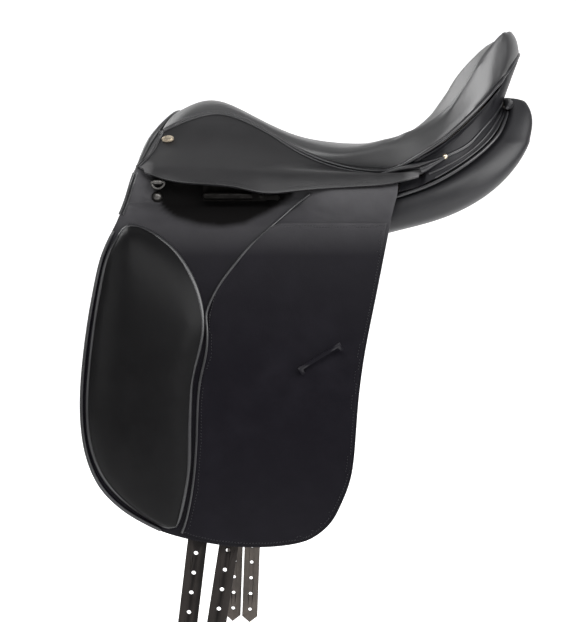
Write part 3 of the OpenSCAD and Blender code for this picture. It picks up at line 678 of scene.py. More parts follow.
def sharp_edges(mesh: Mesh, angle: float) -> list[int]:
    """Numbers of the edges whose faces meet at more than an angle in degrees, or that lie open.

    Args:
        mesh: mesh to search.
        angle: angle in degrees.

    Returns:
        The edges' numbers.
    """
    limit = math.radians(angle)
    with opened(mesh) as bm:
        return [e.index for e in bm.edges if len(e.link_faces) != 2 or e.calc_face_angle(0) > limit]


def crease(obj: Object, angle: float, weight: float = 1) -> None:
    """Hold the sharp edges of a mesh through subdivision.

    Args:
        obj: mesh object.
        angle: angle in degrees that counts as sharp.
        weight: how firmly the edges are held, up to 1.
    """
    layer = obj.data.attributes.new("crease_edge", "FLOAT", "EDGE")
    weights = np.zeros(len(obj.data.edges), np.float32)
    weights[sharp_edges(obj.data, angle)] = weight
    layer.data.foreach_set("value", weights)


def points_of(mesh: Mesh) -> np.ndarray:
    """A mesh's points as an array.

    Args:
        mesh: mesh to read.

    Returns:
        One row for each point.
    """
    co = np.zeros(len(mesh.vertices) * 3, np.float32)
    mesh.vertices.foreach_get("co", co)
    return co.reshape(-1, 3)


def move_points(mesh: Mesh, co: np.ndarray) -> None:
    """Put a mesh's points where an array says."""
    mesh.vertices.foreach_set("co", co.astype(np.float32).ravel())
    mesh.update()


def ramp(values: np.ndarray, low: float, high: float) -> np.ndarray:
    """0 below low, 1 above high, and a straight rise between them."""
    return np.clip((values - low) / (high - low), 0, 1)


def soft(share: np.ndarray) -> np.ndarray:
    """A share from 0 to 1 with a slow start and a slow end."""
    return share * share * (3 - 2 * share)


def store(obj: Object, name: str, values: np.ndarray) -> None:
    """Keep a number for each point of a mesh, for its finish."""
    obj.data.attributes.new(name, "FLOAT", "POINT").data.foreach_set("value", values)


def mark_edges(obj: Object, angle: float = 50, reach: float = 5 * MM) -> None:
    """Store how near each point lies to a sharp edge, for the wear of the finish.

    Args:
        obj: mesh object.
        angle: dihedral angle in degrees that counts as an edge.
        reach: distance at which the mark has faded.
    """
    mesh = obj.data
    rim = sorted({v for i in sharp_edges(mesh, angle) for v in mesh.edges[i].vertices})
    values = np.zeros(len(mesh.vertices), np.float32)
    if rim:
        tree = KDTree(len(rim))
        for i in rim:
            tree.insert(mesh.vertices[i].co, i)
        tree.balance()
        for i, v in enumerate(mesh.vertices):
            values[i] = max(0.0, 1 - tree.find(v.co)[2] / reach)
    store(obj, "edge", values)


def smooth(obj: Object, angle: float = 40) -> None:
    """Shade smooth, with edges sharper than an angle kept."""
    activate(obj)
    bpy.ops.object.shade_smooth_by_angle(angle=math.radians(angle))


def outer_faces(bm: BMesh, outward: Vector, angle: float = 64) -> set:
    """Faces of a sheet's outer side.

    Args:
        bm: the sheet.
        outward: direction that the outer side faces.
        angle: largest angle in degrees between neighbouring faces of one side.

    Returns:
        The connected faces round the one that faces outward most.
    """
    seed = max(bm.faces, key=lambda f: f.normal.dot(outward) + f.calc_area())
    found = {seed}
    queue = [seed]
    limit = math.radians(angle)
    while queue:
        for e in queue.pop().edges:
            if len(e.link_faces) == 2 and e.calc_face_angle(math.pi) < limit:
                for f in e.link_faces:
                    if f not in found:
                        found.add(f)
                        queue.append(f)
    return found


def keep_outer(obj: Object, outward: Vector) -> None:
    """Cut a sheet down to its outer side.

    Args:
        obj: the sheet.
        outward: direction that the outer side faces.
    """
    with opened(obj.data) as bm:
        keep = outer_faces(bm, outward)
        bmesh.ops.delete(bm, geom=[f for f in bm.faces if f not in keep], context="FACES")
        bm.to_mesh(obj.data)


def node_rim(node: str, outward: Vector) -> list[Vector]:
    """Points round the outer side of a CAD sheet, in order.

    Args:
        node: CAD node of the sheet.
        outward: direction that its outer side faces.

    Returns:
        The longest closed loop of points.
    """
    scratch = copy_node(node, "scratch")
    nexts: dict[int, int] = {}
    with opened(scratch.data) as bm:
        keep = outer_faces(bm, outward)
        for f in sorted(keep, key=lambda face: face.index):
            for loop in f.loops:
                if sum(n in keep for n in loop.edge.link_faces) == 1:
                    nexts[loop.vert.index] = loop.link_loop_next.vert.index
        spots = {v.index: v.co.copy() for v in bm.verts}
    bpy.data.meshes.remove(scratch.data)
    loops = []
    while nexts:
        start, at = nexts.popitem()
        ring = [start]
        while at in nexts:
            ring.append(at)
            at = nexts.pop(at)
        loops.append([spots[i] for i in ring])
    return max(loops, key=lambda ring: sum((a - b).length for a, b in zip(ring, ring[1:])))


def node_sides(node: str, outward: Vector) -> list[list[Vector]]:
    """Edges of a four-sided CAD sheet's outer side.

    Args:
        node: CAD node of the sheet.
        outward: direction that its outer side faces.

    Returns:
        Four lines of points, split at the four sharpest corners.
    """
    ring = node_rim(node, outward)
    count = len(ring)

    def turn(i: int) -> float:
        """Angle by which the edge turns at a point."""
        return (ring[i] - ring[i - 1]).angle(ring[(i + 1) % count] - ring[i], 0)

    corners = sorted(sorted(range(count), key=turn)[-4:])
    sides = []
    for a, b in zip(corners, corners[1:] + [corners[0] + count]):
        sides.append([ring[i % count] for i in range(a, b + 1)])
    return sides


def long_sides(sides: Sequence[list[Vector]]) -> list[list[Vector]]:
    """The two sides with the most points, the upper one first."""
    return sorted(sorted(sides, key=len)[-2:], key=lambda line: -mean(line).z)


def mean(line: Sequence[Vector]) -> Vector:
    """Middle of a line's points."""
    return sum(line, Vector()) / len(line)


def between(a: Sequence[Vector], b: Sequence[Vector], share: float, count: int = 24) -> list[Vector]:
    """Line between two lines that run the same way.

    Args:
        a: first line.
        b: second line.
        share: 0 for the first, 1 for the second.
        count: points of the result.

    Returns:
        The line's points.
    """
    def at(line: Sequence[Vector], t: float) -> Vector:
        """Point at a share of a line's count.

        Args:
            line: points of the line.
            t: share from 0 to 1.

        Returns:
            The point.
        """
        spot = t * (len(line) - 1)
        i = min(int(spot), len(line) - 2)
        return line[i].lerp(line[i + 1], spot - i)

    return [at(a, k / (count - 1)).lerp(at(b, k / (count - 1)), share) for k in range(count)]


def resample(line: Sequence[Vector], step: float) -> list[Vector]:
    """Points at equal steps along a line.

    Args:
        line: points of the line.
        step: distance in metres.

    Returns:
        The new points.
    """
    found = [line[0].copy()]
    left = step
    for a, b in zip(line, line[1:]):
        length = (b - a).length
        at = 0.0
        while length - at >= left:
            at += left
            found.append(a.lerp(b, at / length))
            left = step
        left -= length - at
    return found


# Sewing


@dataclass(frozen=True)
class StitchRow:
    """A row of stitches set in from a sheet's edge, sizes in millimetres."""

    inset: float = 5.0
    pitch: float = 3.4
    length: float = 2.5
    width: float = 0.75
    height: float = 0.45
    rise: float = 0.1
    slant: float = 0.16
    # Least and largest distance between stitches, in pitches
    spread: tuple[float, float] = (0.3, 2.0)

    # A stitch is an octahedron: its corners along, across and above the seam, and its faces
    CORNERS = ((-1, 0, 0), (1, 0, 0), (0, -1, 0), (0, 1, 0), (0, 0, 1), (0, 0, -1))
    FACES = ((0, 2, 4), (2, 1, 4), (1, 3, 4), (3, 0, 4), (2, 0, 5), (1, 2, 5), (3, 1, 5), (0, 3, 5))

    def sew(self, name: str, obj: Object, line: Sequence[Vector]) -> Object:
        """Lay stitches along a line on a finished sheet.

        Args:
            name: name of the row.
            obj: sheet that carries the row.
            line: points on the sheet's edge, with the sheet on their left as seen from outside.

        Returns:
            One object with all the stitches.
        """
        verts, faces = [], []
        spots = self._spots(obj, line)
        for (a, normal), (b, _) in zip(spots, spots[1:]):
            gap = (b - a).length / (self.pitch * MM)
            if not self.spread[0] <= gap <= self.spread[1]:
                continue
            along = (b - a).normalized()
            across = normal.cross(along).normalized()
            along = (along + across * self.slant).normalized()
            base = len(verts)
            for x, y, z in self.CORNERS:
                verts.append(a + along * (x * self.length / 2 * MM) + across * (y * self.width / 2 * MM)
                             + normal * ((z * self.height + self.rise) * MM))
            faces += [tuple(base + k for k in face) for face in self.FACES]
        mesh = bpy.data.meshes.new(name)
        mesh.from_pydata([tuple(v) for v in verts], [], faces)
        mesh.materials.append(material_of(THREAD))
        row = add_object(name, mesh)
        smooth(row, 80)
        return row

    def _spots(self, obj: Object, line: Sequence[Vector]) -> list[tuple[Vector, Vector]]:
        """Places of the stitches on the sheet, each with the sheet's normal.

        Args:
            obj: sheet that carries the row.
            line: points on the sheet's edge.

        Returns:
            Point and normal of each place.
        """
        spots = []
        run = resample(line, self.pitch * MM)
        for p, q in zip(run, run[1:]):
            _, _, normal, _ = obj.closest_point_on_mesh(p)
            inward = normal.cross(q - p).normalized() * self.inset * MM
            hit, at, normal, _ = obj.closest_point_on_mesh(p + inward)
            if hit:
                spots.append((at.copy(), normal.copy()))
        return spots


def bead(name: str, line: Sequence[Vector], radius: float, closed: bool = False,
         swell: Sequence[float] = ()) -> Object:
    """A round cord of leather along a line.

    Args:
        name: name of the piece.
        line: points of its middle.
        radius: radius in metres.
        closed: whether the line is a ring.
        swell: share of the radius at each point, all 1 where it is left out.

    Returns:
        The mesh object.
    """
    curve = bpy.data.curves.new(name, "CURVE")
    curve.dimensions = "3D"
    curve.bevel_depth = radius
    curve.bevel_resolution = 3
    curve.use_fill_caps = True
    curve.resolution_u = 4
    spline = curve.splines.new("NURBS")
    spline.points.add(len(line) - 1)
    spline.order_u = 4
    spline.use_endpoint_u = not closed
    spline.use_cyclic_u = closed
    for spot, p, share in zip(spline.points, line, swell or [1.0] * len(line)):
        spot.co = (*p, 1)
        spot.radius = share
    obj = add_object(name, curve)
    activate(obj)
    bpy.ops.object.convert(target="MESH")
    smooth(obj, 60)
    return obj


# Pieces


def settle(obj: Object, slot: str, body: Optional[str], nodes: Sequence[str]) -> Object:
    """Dress a finished piece, let it ride on its body and hide the nodes it stands for.

    Args:
        obj: the piece.
        slot: material slot of the record, which names its finish.
        body: CAD body, or None for a piece left unattached.
        nodes: CAD nodes that it replaces.

    Returns:
        The piece.
    """
    if not obj.data.materials:
        obj.data.materials.append(material_of(FINISHES[slot]))
    if "edge" not in obj.data.attributes:
        mark_edges(obj)
    if body:
        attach(obj, body)
    if nodes:
        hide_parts(*nodes)
    LOG.info("%s: %d faces", obj.name, len(obj.data.polygons))
    return obj


@dataclass
class Sheet:
    """A leather sheet made from its CAD slab: smoothed, with rounded edges.

    Attributes:
        node: CAD node.
        slot: material slot.
        body: CAD body.
        eased: rounds that take the waves out of the sheet's rear.
        finish: finish that differs from the slot's.
    """

    node: str
    slot: str
    body: str
    eased: int = 0
    finish: str = ""

    levels: int = 2
    edge_round: float = 0.8
    crease_angle: float = 45
    # Where the easing starts, how far the eased rear swells again, and the length over which that grows
    ease_from: float = 100.0
    ease_swell: float = 0.8
    ease_run: float = 60.0
    # One round of easing: smoothed, then most of the shrinkage taken back, as factor and repeats
    ease_round: tuple[tuple[float, int], ...] = ((0.5, 5), (-0.5, 3))

    def build(self) -> Object:
        """Make the sheet and settle it.

        Returns:
            The finished piece.
        """
        obj = copy_node(self.node, self.node + "_leather")
        crease(obj, self.crease_angle)
        subdivide(obj, self.levels)
        if self.eased:
            self._ease(obj)
        if self.finish:
            obj.data.materials.append(material_of(FINISHES[self.finish]))
        round_edges(obj, self.edge_round)
        smooth(obj)
        return settle(obj, self.slot, self.body, [self.node])

    def _ease(self, obj: Object) -> None:
        """Take the waves out of the sheet's rear, its edges kept and its bulk not shrunk.

        Args:
            obj: the sheet.
        """
        held = {v for i in sharp_edges(obj.data, self.crease_angle) for v in obj.data.edges[i].vertices}
        rear = [v.index for v in obj.data.vertices if v.index not in held and v.co.x > self.ease_from * MM]
        relax(obj, rear, *self.ease_round * self.eased)
        co = points_of(obj.data)
        share = ramp(co[:, 0] / MM, self.ease_from, self.ease_from + self.ease_run)
        share[list(held)] = 0
        normals = np.array([v.normal for v in obj.data.vertices])
        co += normals * (self.ease_swell * MM * soft(share))[:, None]
        move_points(obj.data, co)


@dataclass
class Cording:
    """Piping or welt, made round from its CAD tube with so many sides."""

    node: str
    body: str
    sides: int = 8

    radius: float = 2.1

    def build(self) -> Object:
        """Make the cord and settle it.

        Returns:
            The finished piece.
        """
        obj = copy_node(self.node, self.node + "_round")
        shrink = 2 / 3 + math.cos(2 * math.pi / self.sides) / 3
        with editing(obj):
            bpy.ops.mesh.select_all(action="SELECT")
            bpy.ops.transform.shrink_fatten(value=self.radius * MM * (1 / shrink - 1))
        subdivide(obj, 2)
        smooth(obj, 70)
        return settle(obj, "piping_leather", self.body, [self.node])


@dataclass
class Fold:
    """A sheet of leather that bends along a line: a fixed part and a hanging part made one.

    Attributes:
        name: name of the piece.
        fixed: CAD node of the fixed part.
        hanging: CAD node of the hanging part, and its body.
        slot: material slot.
        thickness: thickness in millimetres.
        line: ends of the bending line.
        across: direction from the line to the hanging part.
        outward: direction that the outer side faces.
        reach: distance on either side of the line over which the leather bends; not used.
        slit: distance from the line within which the parts' edges are joined.
        rubbed: breadth of the rubbed edges, on the skirt also a painted highlight along its lower edge.
        recess: lower edge (x, z) of the painted shade in a recess, if there is one.
    """

    name: str
    fixed: str
    hanging: str
    slot: str
    thickness: float
    line: tuple[Vector, Vector]
    across: Vector
    outward: Vector
    reach: float
    slit: float
    rubbed: float
    recess: tuple[tuple[float, float], ...] = ()

    edge_round: float = 0.8
    crease_angle: float = 50
    # Breadth on either side of the line that is smoothed, and the smoothing's factor and repeats
    ease: float = 15.0
    ease_pass: tuple[float, int] = (0.5, 8)
    # Height over which the painted shade fades in above the recess's lower edge
    recess_soft: float = 7.0

    @property
    def down(self) -> Vector:
        """Direction across the bending line, towards the hanging part."""
        along = (self.line[1] - self.line[0]).normalized()
        return (self.across - along * self.across.dot(along)).normalized()

    def build(self) -> Object:
        """Join the two parts over the bending line, thicken and smooth them.

        Returns:
            The finished piece.
        """
        parts = [copy_node(n, f"{self.name}_{k}") for k, n in enumerate((self.fixed, self.hanging))]
        for part in parts:
            keep_outer(part, self.outward)
        activate(parts[0])
        parts[1].select_set(True)
        bpy.ops.object.join()
        obj = parts[0]
        obj.name = obj.data.name = self.name
        self._bridge(obj)
        self._ease(obj)
        finish_with(obj, "SOLIDIFY", thickness=self.thickness * MM, offset=-1, use_even_offset=True,
                    use_quality_normals=True)
        crease(obj, self.crease_angle)
        subdivide(obj, 2)
        round_edges(obj, self.edge_round)
        smooth(obj)
        mark_edges(obj, reach=self.rubbed * MM)
        self._mark_recess(obj)
        settle(obj, self.slot, None, [self.fixed, self.hanging])
        middle = (self.line[0] + self.line[1]) / 2
        reach = self.down * self.reach * MM
        middle - reach
        middle + reach
        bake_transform(obj)
        return obj

    def _mark_recess(self, obj: Object) -> None:
        """Store on each point its share of painted shade, from how far it lies within the recess above its
        lip.

        Args:
            obj: the sheet.
        """
        values = np.zeros(len(obj.data.vertices), np.float32)
        if self.recess:
            lip = np.array(self.recess) * MM
            co = points_of(obj.data)
            edge = np.interp(co[:, 0], lip[:, 0], lip[:, 1])
            values[:] = ramp(co[:, 2] - edge, 0, self.recess_soft * MM)
        store(obj, "recess", values)

    def _near(self, point: Vector, breadth: float) -> bool:
        """Whether a point lies within a breadth in millimetres of the bending line."""
        return abs((point - self.line[0]).dot(self.down)) < breadth * MM

    def _ease(self, obj: Object) -> None:
        """Smooth the sheet beside the bending line, so that no crease shows.

        Args:
            obj: the sheet.
        """
        with opened(obj.data) as bm:
            near = [v.index for v in bm.verts if not v.is_boundary and self._near(v.co, self.ease)]
        relax(obj, near, self.ease_pass)

    def _bridge(self, obj: Object) -> None:
        """Close the slit along the bending line.

        Args:
            obj: the joined parts.
        """
        with opened(obj.data) as bm:
            rims = [e.index for e in bm.edges
                    if e.is_boundary and all(self._near(v.co, self.slit) for v in e.verts)]
        with editing(obj, Element.EDGE, rims):
            bpy.ops.mesh.bridge_edge_loops()
            bpy.ops.mesh.select_all(action="SELECT")
            bpy.ops.mesh.normals_make_consistent(inside=False)
            bpy.ops.mesh.tris_convert_to_quads()


@dataclass
class Pad:
    """A stuffed leather pad, swollen by a short cloth simulation from its CAD form.

    Attributes:
        node: CAD node.
        slot: material slot.
        body: CAD body.
        fill: share of the pad that is stuffing; not used.
        cap: furthest that a point moves, in millimetres.
        held: picks the points that stay, from all points and their normals.
        crease_angle: angle in degrees from which an edge is kept.
        start_in: how far the form is drawn in before it swells, in millimetres.
    """

    node: str
    slot: str
    body: str
    fill: float
    cap: float
    held: Callable[[np.ndarray, np.ndarray], np.ndarray]
    crease_angle: float = 55
    start_in: float = 0.0

    crease_weight: float = 0.7
    pressure: float = 3
    stiffness: float = 20
    bending: float = 2
    frames: int = 20
    edge_angle: float = 60
    rubbed: float = 4

    def build(self) -> Object:
        """Make the pad and settle it.

        Returns:
            The finished piece.
        """
        obj = copy_node(self.node, self.node + "_stuffed")
        crease(obj, self.crease_angle, self.crease_weight)
        subdivide(obj, 1)
        if self.start_in:
            with editing(obj):
                bpy.ops.mesh.select_all(action="SELECT")
                bpy.ops.transform.shrink_fatten(value=-self.start_in * MM)
        self._swell(obj)
        subdivide(obj, 1)
        smooth(obj, self.edge_angle)
        mark_edges(obj, self.edge_angle, self.rubbed * MM)
        settle(obj, self.slot, self.body, [self.node])
        return obj

    def _swell(self, obj: Object) -> None:
        """Blow the pad up against its held side, no point moving further than the cap.

        Args:
            obj: the pad.
        """
        mesh = obj.data
        before = points_of(mesh)
        normals = np.array([v.normal for v in mesh.vertices])
        held = obj.vertex_groups.new(name="held")
        held.add([int(i) for i in np.flatnonzero(self.held(before, normals))], 1.0, "REPLACE")
        cloth = obj.modifiers.new("stuffing", "CLOTH")
        cloth.settings.vertex_group_mass = "held"
        cloth.settings.use_pressure = True
        cloth.settings.uniform_pressure_force = self.pressure
        cloth.settings.effector_weights.gravity = 0
        cloth.settings.tension_stiffness = self.stiffness
        cloth.settings.compression_stiffness = self.stiffness
        cloth.settings.bending_stiffness = self.bending
        cloth.collision_settings.use_collision = False
        scene = bpy.context.scene
        for number in range(1, self.frames + 1):
            scene.frame_set(number)
        graph = bpy.context.evaluated_depsgraph_get()
        after = points_of(obj.evaluated_get(graph).data)
        obj.modifiers.remove(cloth)
        scene.frame_set(1)
        shift = after - before
        length = np.linalg.norm(shift, axis=1, keepdims=True)
        after = before + shift * np.minimum(1, self.cap * MM / np.maximum(length, 1e-9))
        move_points(mesh, after)
        obj.vertex_groups.clear()


@dataclass
class Seat:
    """Seat cover, welt, cantle back, facings and pommel front."""

    fill: float = 0.85
    cover_rounds: int = 24
    facings: tuple[str, ...] = ("cantle_back", "pommel_facing", "rear_facing_left", "rear_facing_right")
    # Corded nodes and the sides of their CAD tubes
    corded: tuple[tuple[str, int], ...] = (("seat_welt", 6), ("front_arch_piping", 8), ("panel_piping", 8))
    cantle_radius: float = 1.9
    seam_radius: float = 1.7
    # Cords on the rear facing: where they start, their lift, and share of the facing's height with radius
    facing_start: float = 146.0
    facing_lift: float = 0.6
    facing_beads: tuple[tuple[float, ...], ...] = ((-0.06, 1.5), (0.55, 1.3), (0.96, 1.2))
    # The flap top's front edge lies ahead of this x and above this z
    flap_front: tuple[float, float] = (-190.5, 25.5)
    # Cords at the front edges: how far ahead of the edge, how far inside it, radius
    skirt_front_beads: tuple[tuple[float, ...], ...] = ((0.8, 0.6, 1.5), (4.2, 2.6, 1.7))
    flap_front_beads: tuple[tuple[float, ...], ...] = ((0.4, 0.4, 1.6), (-3.6, -0.2, 1.2))
    # Cords that close the skirt's tail against the seat, up to the rear stud: x, y, z, radius
    tail_cord: CordSpots = (
        (94, 99.5, 74, 1.6), (106, 105, 76.5, 2.6), (118, 112, 79.5, 3.2), (128, 118, 82, 3.4),
        (138, 122.5, 84, 3), (150, 126.5, 87.5, 2.2), (163, 129.5, 92, 1.6),
    )
    tail_tip: CordSpots = (
        (138.2, 125, 77.2, 4), (141.5, 125.8, 78.6, 4.2), (146, 127, 81.2, 3.9), (154, 128.6, 86, 2.8),
        (164, 129.8, 91, 1.4),
    )
    # Roll under the cantle's back that joins the panels' rear ends, up to the centre: x, y, z, radius
    ledge: CordSpots = (
        (243, 84, 151, 1.5), (247, 72, 155, 5), (251, 50, 158.5, 7), (254, 25, 161.5, 7), (256, 0, 163, 7),
    )
    # Cord that closes the slit over the flap's top behind the stirrup bar, dark with the recess's painted
    # shade: x, y, z, radius
    pocket_cord: CordSpots = ((-150, 101, 62.5, 3.5), (-120, 101, 62, 3.5), (-90, 101, 62, 3.5))
    # Middle of the pommel's double roll: x, y, z, half width
    pommel_roll: CordSpots = (
        (-149, 0, 152, 3), (-151, 22, 150, 4), (-161.6, 47, 135.6, 5), (-168.5, 59, 125, 6),
        (-176, 70, 113, 6.5), (-180.7, 82, 101.5, 6), (-186.4, 97, 88, 4), (-191, 108, 77, 2.5),
    )
    # Radius of its two cords and their distance from its middle, as shares of the half width
    pommel_share: float = 0.56
    pommel_lean: float = 0.5

    def build(self) -> None:
        """Make the seat's leather."""
        cover = Sheet("seat_cover", "seat_leather", ROOT, eased=self.cover_rounds).build()
        for node in self.facings:
            Sheet(node, "seat_leather", ROOT, finish="facing_leather").build()
        for node, sides in self.corded:
            Cording(node, ROOT, sides).build()
        top, _ = long_sides(node_sides("cantle_back", Vector((1, 0, 0.2))))
        self._piping("cantle_bead", top, self.cantle_radius)
        ledge = Side.LEFT.cord(self.ledge) + Side.RIGHT.cord(self.ledge[-2::-1])
        self._roll("rear_ledge", ledge, "panel_leather")
        for side in Side:
            self._facing_beads(side)
            self._front_beads(side)
            for k, spots in enumerate((self.tail_cord, self.tail_tip)):
                self._roll(f"tail_cord_{side.word}_{k}", side.cord(spots), "piping_leather")

    @staticmethod
    def _piping(name: str, line: Sequence[Vector], radius: float) -> None:
        """Fixed cord of one radius in millimetres along a line."""
        settle(bead(name, line, radius * MM), "piping_leather", ROOT, [])

    @staticmethod
    def _roll(name: str, spots: Sequence[tuple[Vector, float]], slot: str, dark: bool = False) -> None:
        """Fixed cord of varying radius.

        Args:
            name: name of the piece.
            spots: points in metres, each with its radius in millimetres.
            slot: material slot.
            dark: whether it gets the painted shade of the recess behind the stirrup bar.
        """
        cord = bead(name, [p for p, _ in spots], MM, swell=[radius for _, radius in spots])
        # Painted shade: the cord is as dark as the recess all over
        if dark:
            store(cord, "recess", np.ones(len(cord.data.vertices), np.float32))
        settle(cord, slot, ROOT, [])

    def _facing_beads(self, side: Side) -> None:
        """Cords along the rear facing, from where it meets the cantle to its lower edge.

        Args:
            side: side of the saddle.
        """
        top, low = long_sides(node_sides(f"rear_facing_{side.word}", Vector((0.3, side.value, 0.2))))
        lift = side.outward * self.facing_lift * MM
        for k, (share, radius) in enumerate(self.facing_beads):
            line = [p + lift for p in between(top, low[::-1], share) if p.x > self.facing_start * MM]
            self._piping(f"facing_bead_{side.word}_{k}", line, radius)

    def _front_beads(self, side: Side) -> None:
        """Cords along the skirt's seam, over the pocket and down the front edges of skirt and flap top.

        Args:
            side: side of the saddle.
        """
        skirt = node_sides(f"skirt_top_{side.word}", Vector((0, side.value, 0.7)))
        seam, _ = long_sides(skirt)
        self._piping(f"skirt_seam_{side.word}", seam, self.seam_radius)
        # The pocket cord gets the recess's painted shade
        self._roll(f"pocket_cord_{side.word}", side.cord(self.pocket_cord), "flap_leather", dark=True)
        fronts = (
            (Leaf.SKIRT, min(skirt, key=lambda line: mean(line).x), self.skirt_front_beads),
            (Leaf.FLAP, self._flap_front(side), self.flap_front_beads),
        )
        for leaf, front, beads in fronts:
            for k, (ahead, inside, radius) in enumerate(beads):
                shift = Vector((-ahead, -side.value * inside, 0)) * MM
                name = f"{leaf.value}_top_front_bead_{side.word}_{k}"
                self._piping(name, [p + shift for p in front], radius)
        self._pommel_roll(side)

    def _pommel_roll(self, side: Side) -> None:
        """Two cords side by side before the skirt and the seat's front edge, widest at half height.

        Args:
            side: side of the saddle.
        """
        spots = side.cord(self.pommel_roll)
        line = [p for p, _ in spots]
        halves = [half * MM for _, half in spots]
        widest = max(halves)
        for k, lean in enumerate((-self.pommel_lean, self.pommel_lean)):
            middle = []
            for i, (p, half) in enumerate(zip(line, halves)):
                along = line[min(i + 1, len(line) - 1)] - line[max(i - 1, 0)]
                ahead = along.cross(side.outward).normalized() * -side.value
                middle.append(p + ahead * half * lean)
            cord = bead(f"pommel_roll_{side.word}_{k}", middle, self.pommel_share * widest,
                        swell=[half / widest for half in halves])
            settle(cord, "seat_leather", ROOT, [])

    def _flap_front(self, side: Side) -> list[Vector]:
        """Front edge of the flap's fixed top, from below upwards.

        Args:
            side: side of the saddle.

        Returns:
            Points of the edge.
        """
        ahead, above = (v * MM for v in self.flap_front)
        ring = node_rim(f"flap_top_{side.word}", side.outward)
        return sorted((p for p in ring if p.x < ahead and p.z > above), key=lambda p: p.z)


@dataclass
class FlapSide:
    """Skirt, flap, knee pad, overlay, keeper, panel and under-flap of one side."""

    side: Side

    # Bending lines for the right side, from front to rear
    skirt_line: tuple[Spot, Spot] = ((-186, 114, 81.1), (140, 125, 76.1))
    flap_line: tuple[Spot, Spot] = ((-211, 134.6, 20.2), (103, 134.6, 20.2))
    # Distance on either side of the lines over which the leather bends, and within which edges are joined
    skirt_reach: float = 6.0
    flap_reach: float = 5.0
    skirt_slit: float = 2.3
    flap_slit: float = 4.0
    # Thickness of the leather, and breadth of the rubbed edges, on the skirt also a painted highlight along
    # its lower edge
    skirt_thickness: float = 3.2
    flap_thickness: float = 3.1
    skirt_rubbed: float = 20.0
    flap_rubbed: float = 5.0
    # Stuffing of the pads, and how far it may push the leather out
    knee_fill: float = 0.9
    knee_cap: float = 3.0
    panel_fill: float = 0.85
    panel_cap: float = 4.0
    panel_start_in: float = 1.5
    # Lower edge of the painted shade in the recess behind the stirrup bar as (x, z), reaching below the
    # flap's bending line
    lip: tuple[tuple[float, ...], ...] = (
        (-176, 90), (-170, 46), (-160, 30), (-146, 20), (-117, 12), (-91, 9), (-65, 13), (-36, 27), (-8, 46),
        (4, 90),
    )
    # Stretch of the skirt's lower edge that is sewn
    skirt_seam: tuple[float, float] = (-150.0, 122.0)
    # The overlay's seam where it slants up over the flap's bend, as (x, z), and the height of that bend
    seam: tuple[tuple[float, ...], ...] = (
        (-108.7, -86.7), (-102.9, -71.3), (-93.3, -52), (-78, -32.8), (-62.6, -13.5), (-51.1, -1.9),
        (-35.7, 11.6), (-20.4, 25), (-5, 38.6), (10.3, 50.2),
    )
    seam_bend: float = 14.0
    seam_gap: float = 4.0
    # Lift of the seam off the flap on the overlay and above it, and a distance well outside the flap
    overlay_lift: float = 2.2
    top_lift: float = 0.3
    clear_of_flap: float = 400.0
    bead_lift: float = 0.7
    bead_radius: float = 1.5
    # Roll round the knee pad: distance inside its rim, lift, radius
    pad_roll: tuple[float, float, float] = (3.2, 0.4, 4.2)
    # The panel's rear end is pushed back and drawn up: axis, where that starts and ends, how far
    bulb: tuple[tuple[int, float, float, float], ...] = ((0, 120.0, 210.0, 3.5), (2, 125.0, 180.0, 13.0))
    # Heights over which the panel's very end leans forward, and by how much
    lean: tuple[float, float, float] = (142.0, 172.0, 10.0)
    # Height above which the panel's rear end is rounded off, and the rounding's factor and repeats
    rounded_above: float = 112.0
    rounding: tuple[float, int] = (0.5, 48)

    def build(self) -> None:
        """Make the side's pieces."""
        word = self.side.word
        body = f"flap_{word}"
        sign = self.side.value
        skirt = self._fold(Leaf.SKIRT, self.skirt_line, thickness=self.skirt_thickness,
                           reach=self.skirt_reach, slit=self.skirt_slit, rubbed=self.skirt_rubbed,
                           across=Vector((0, 0.5 * sign, -0.85)), outward=Vector((0, sign, 0.7)))
        flap = self._fold(Leaf.FLAP, self.flap_line, thickness=self.flap_thickness,
                          reach=self.flap_reach, slit=self.flap_slit, rubbed=self.flap_rubbed,
                          across=Vector((0, 0, -1)), outward=self.side.outward, recess=self.lip)
        self._sew_skirt(skirt)
        overlay = Sheet(f"flap_overlay_{word}", "flap_leather", body).build()
        Sheet(f"keeper_{word}", "flap_leather", body).build()
        self._seams(overlay, flap, body)
        self._pad_roll(body)
        Sheet(f"sweat_flap_{word}", "flap_leather", ROOT).build()
        Cording(f"flap_piping_{word}", body).build()
        Pad(f"knee_pad_{word}", "pad_leather", body, fill=self.knee_fill, cap=self.knee_cap,
            held=lambda co, normals: normals[:, 1] * sign < -0.3).build()
        panel = Pad(f"panel_{word}", "panel_leather", ROOT, fill=self.panel_fill, cap=self.panel_cap,
                    crease_angle=100, start_in=self.panel_start_in,
                    held=lambda co, normals: normals[:, 2] > -0.1).build()
        self._round_bulb(panel)

    def _fold(self, leaf: Leaf, line: Sequence[Spot], **shape: object) -> Object:
        """Make the skirt or the flap with its fixed top.

        Args:
            leaf: skirt or flap.
            line: ends of its bending line for the right side, in millimetres.
            shape: the fold's other values.

        Returns:
            The finished sheet.
        """
        word = self.side.word
        kind = leaf.value
        start, end = (self.side.place(*spot) for spot in line)
        return Fold(f"{kind}_{word}_leather", f"{kind}_top_{word}", f"{kind}_{word}", f"{kind}_leather",
                    line=(start, end), **shape).build()

    def _sew_skirt(self, skirt: Object) -> None:
        """Stitches along the skirt's lower edge.

        Args:
            skirt: finished skirt.
        """
        word = self.side.word
        _, edge = long_sides(node_sides(f"skirt_{word}", Vector((0, self.side.value, 0.3))))
        front, rear = (v * MM for v in self.skirt_seam)
        seam = [p for p in edge if front < p.x < rear]
        settle(StitchRow().sew(f"skirt_stitches_{word}", skirt, seam), "skirt_leather", f"skirt_{word}", [])

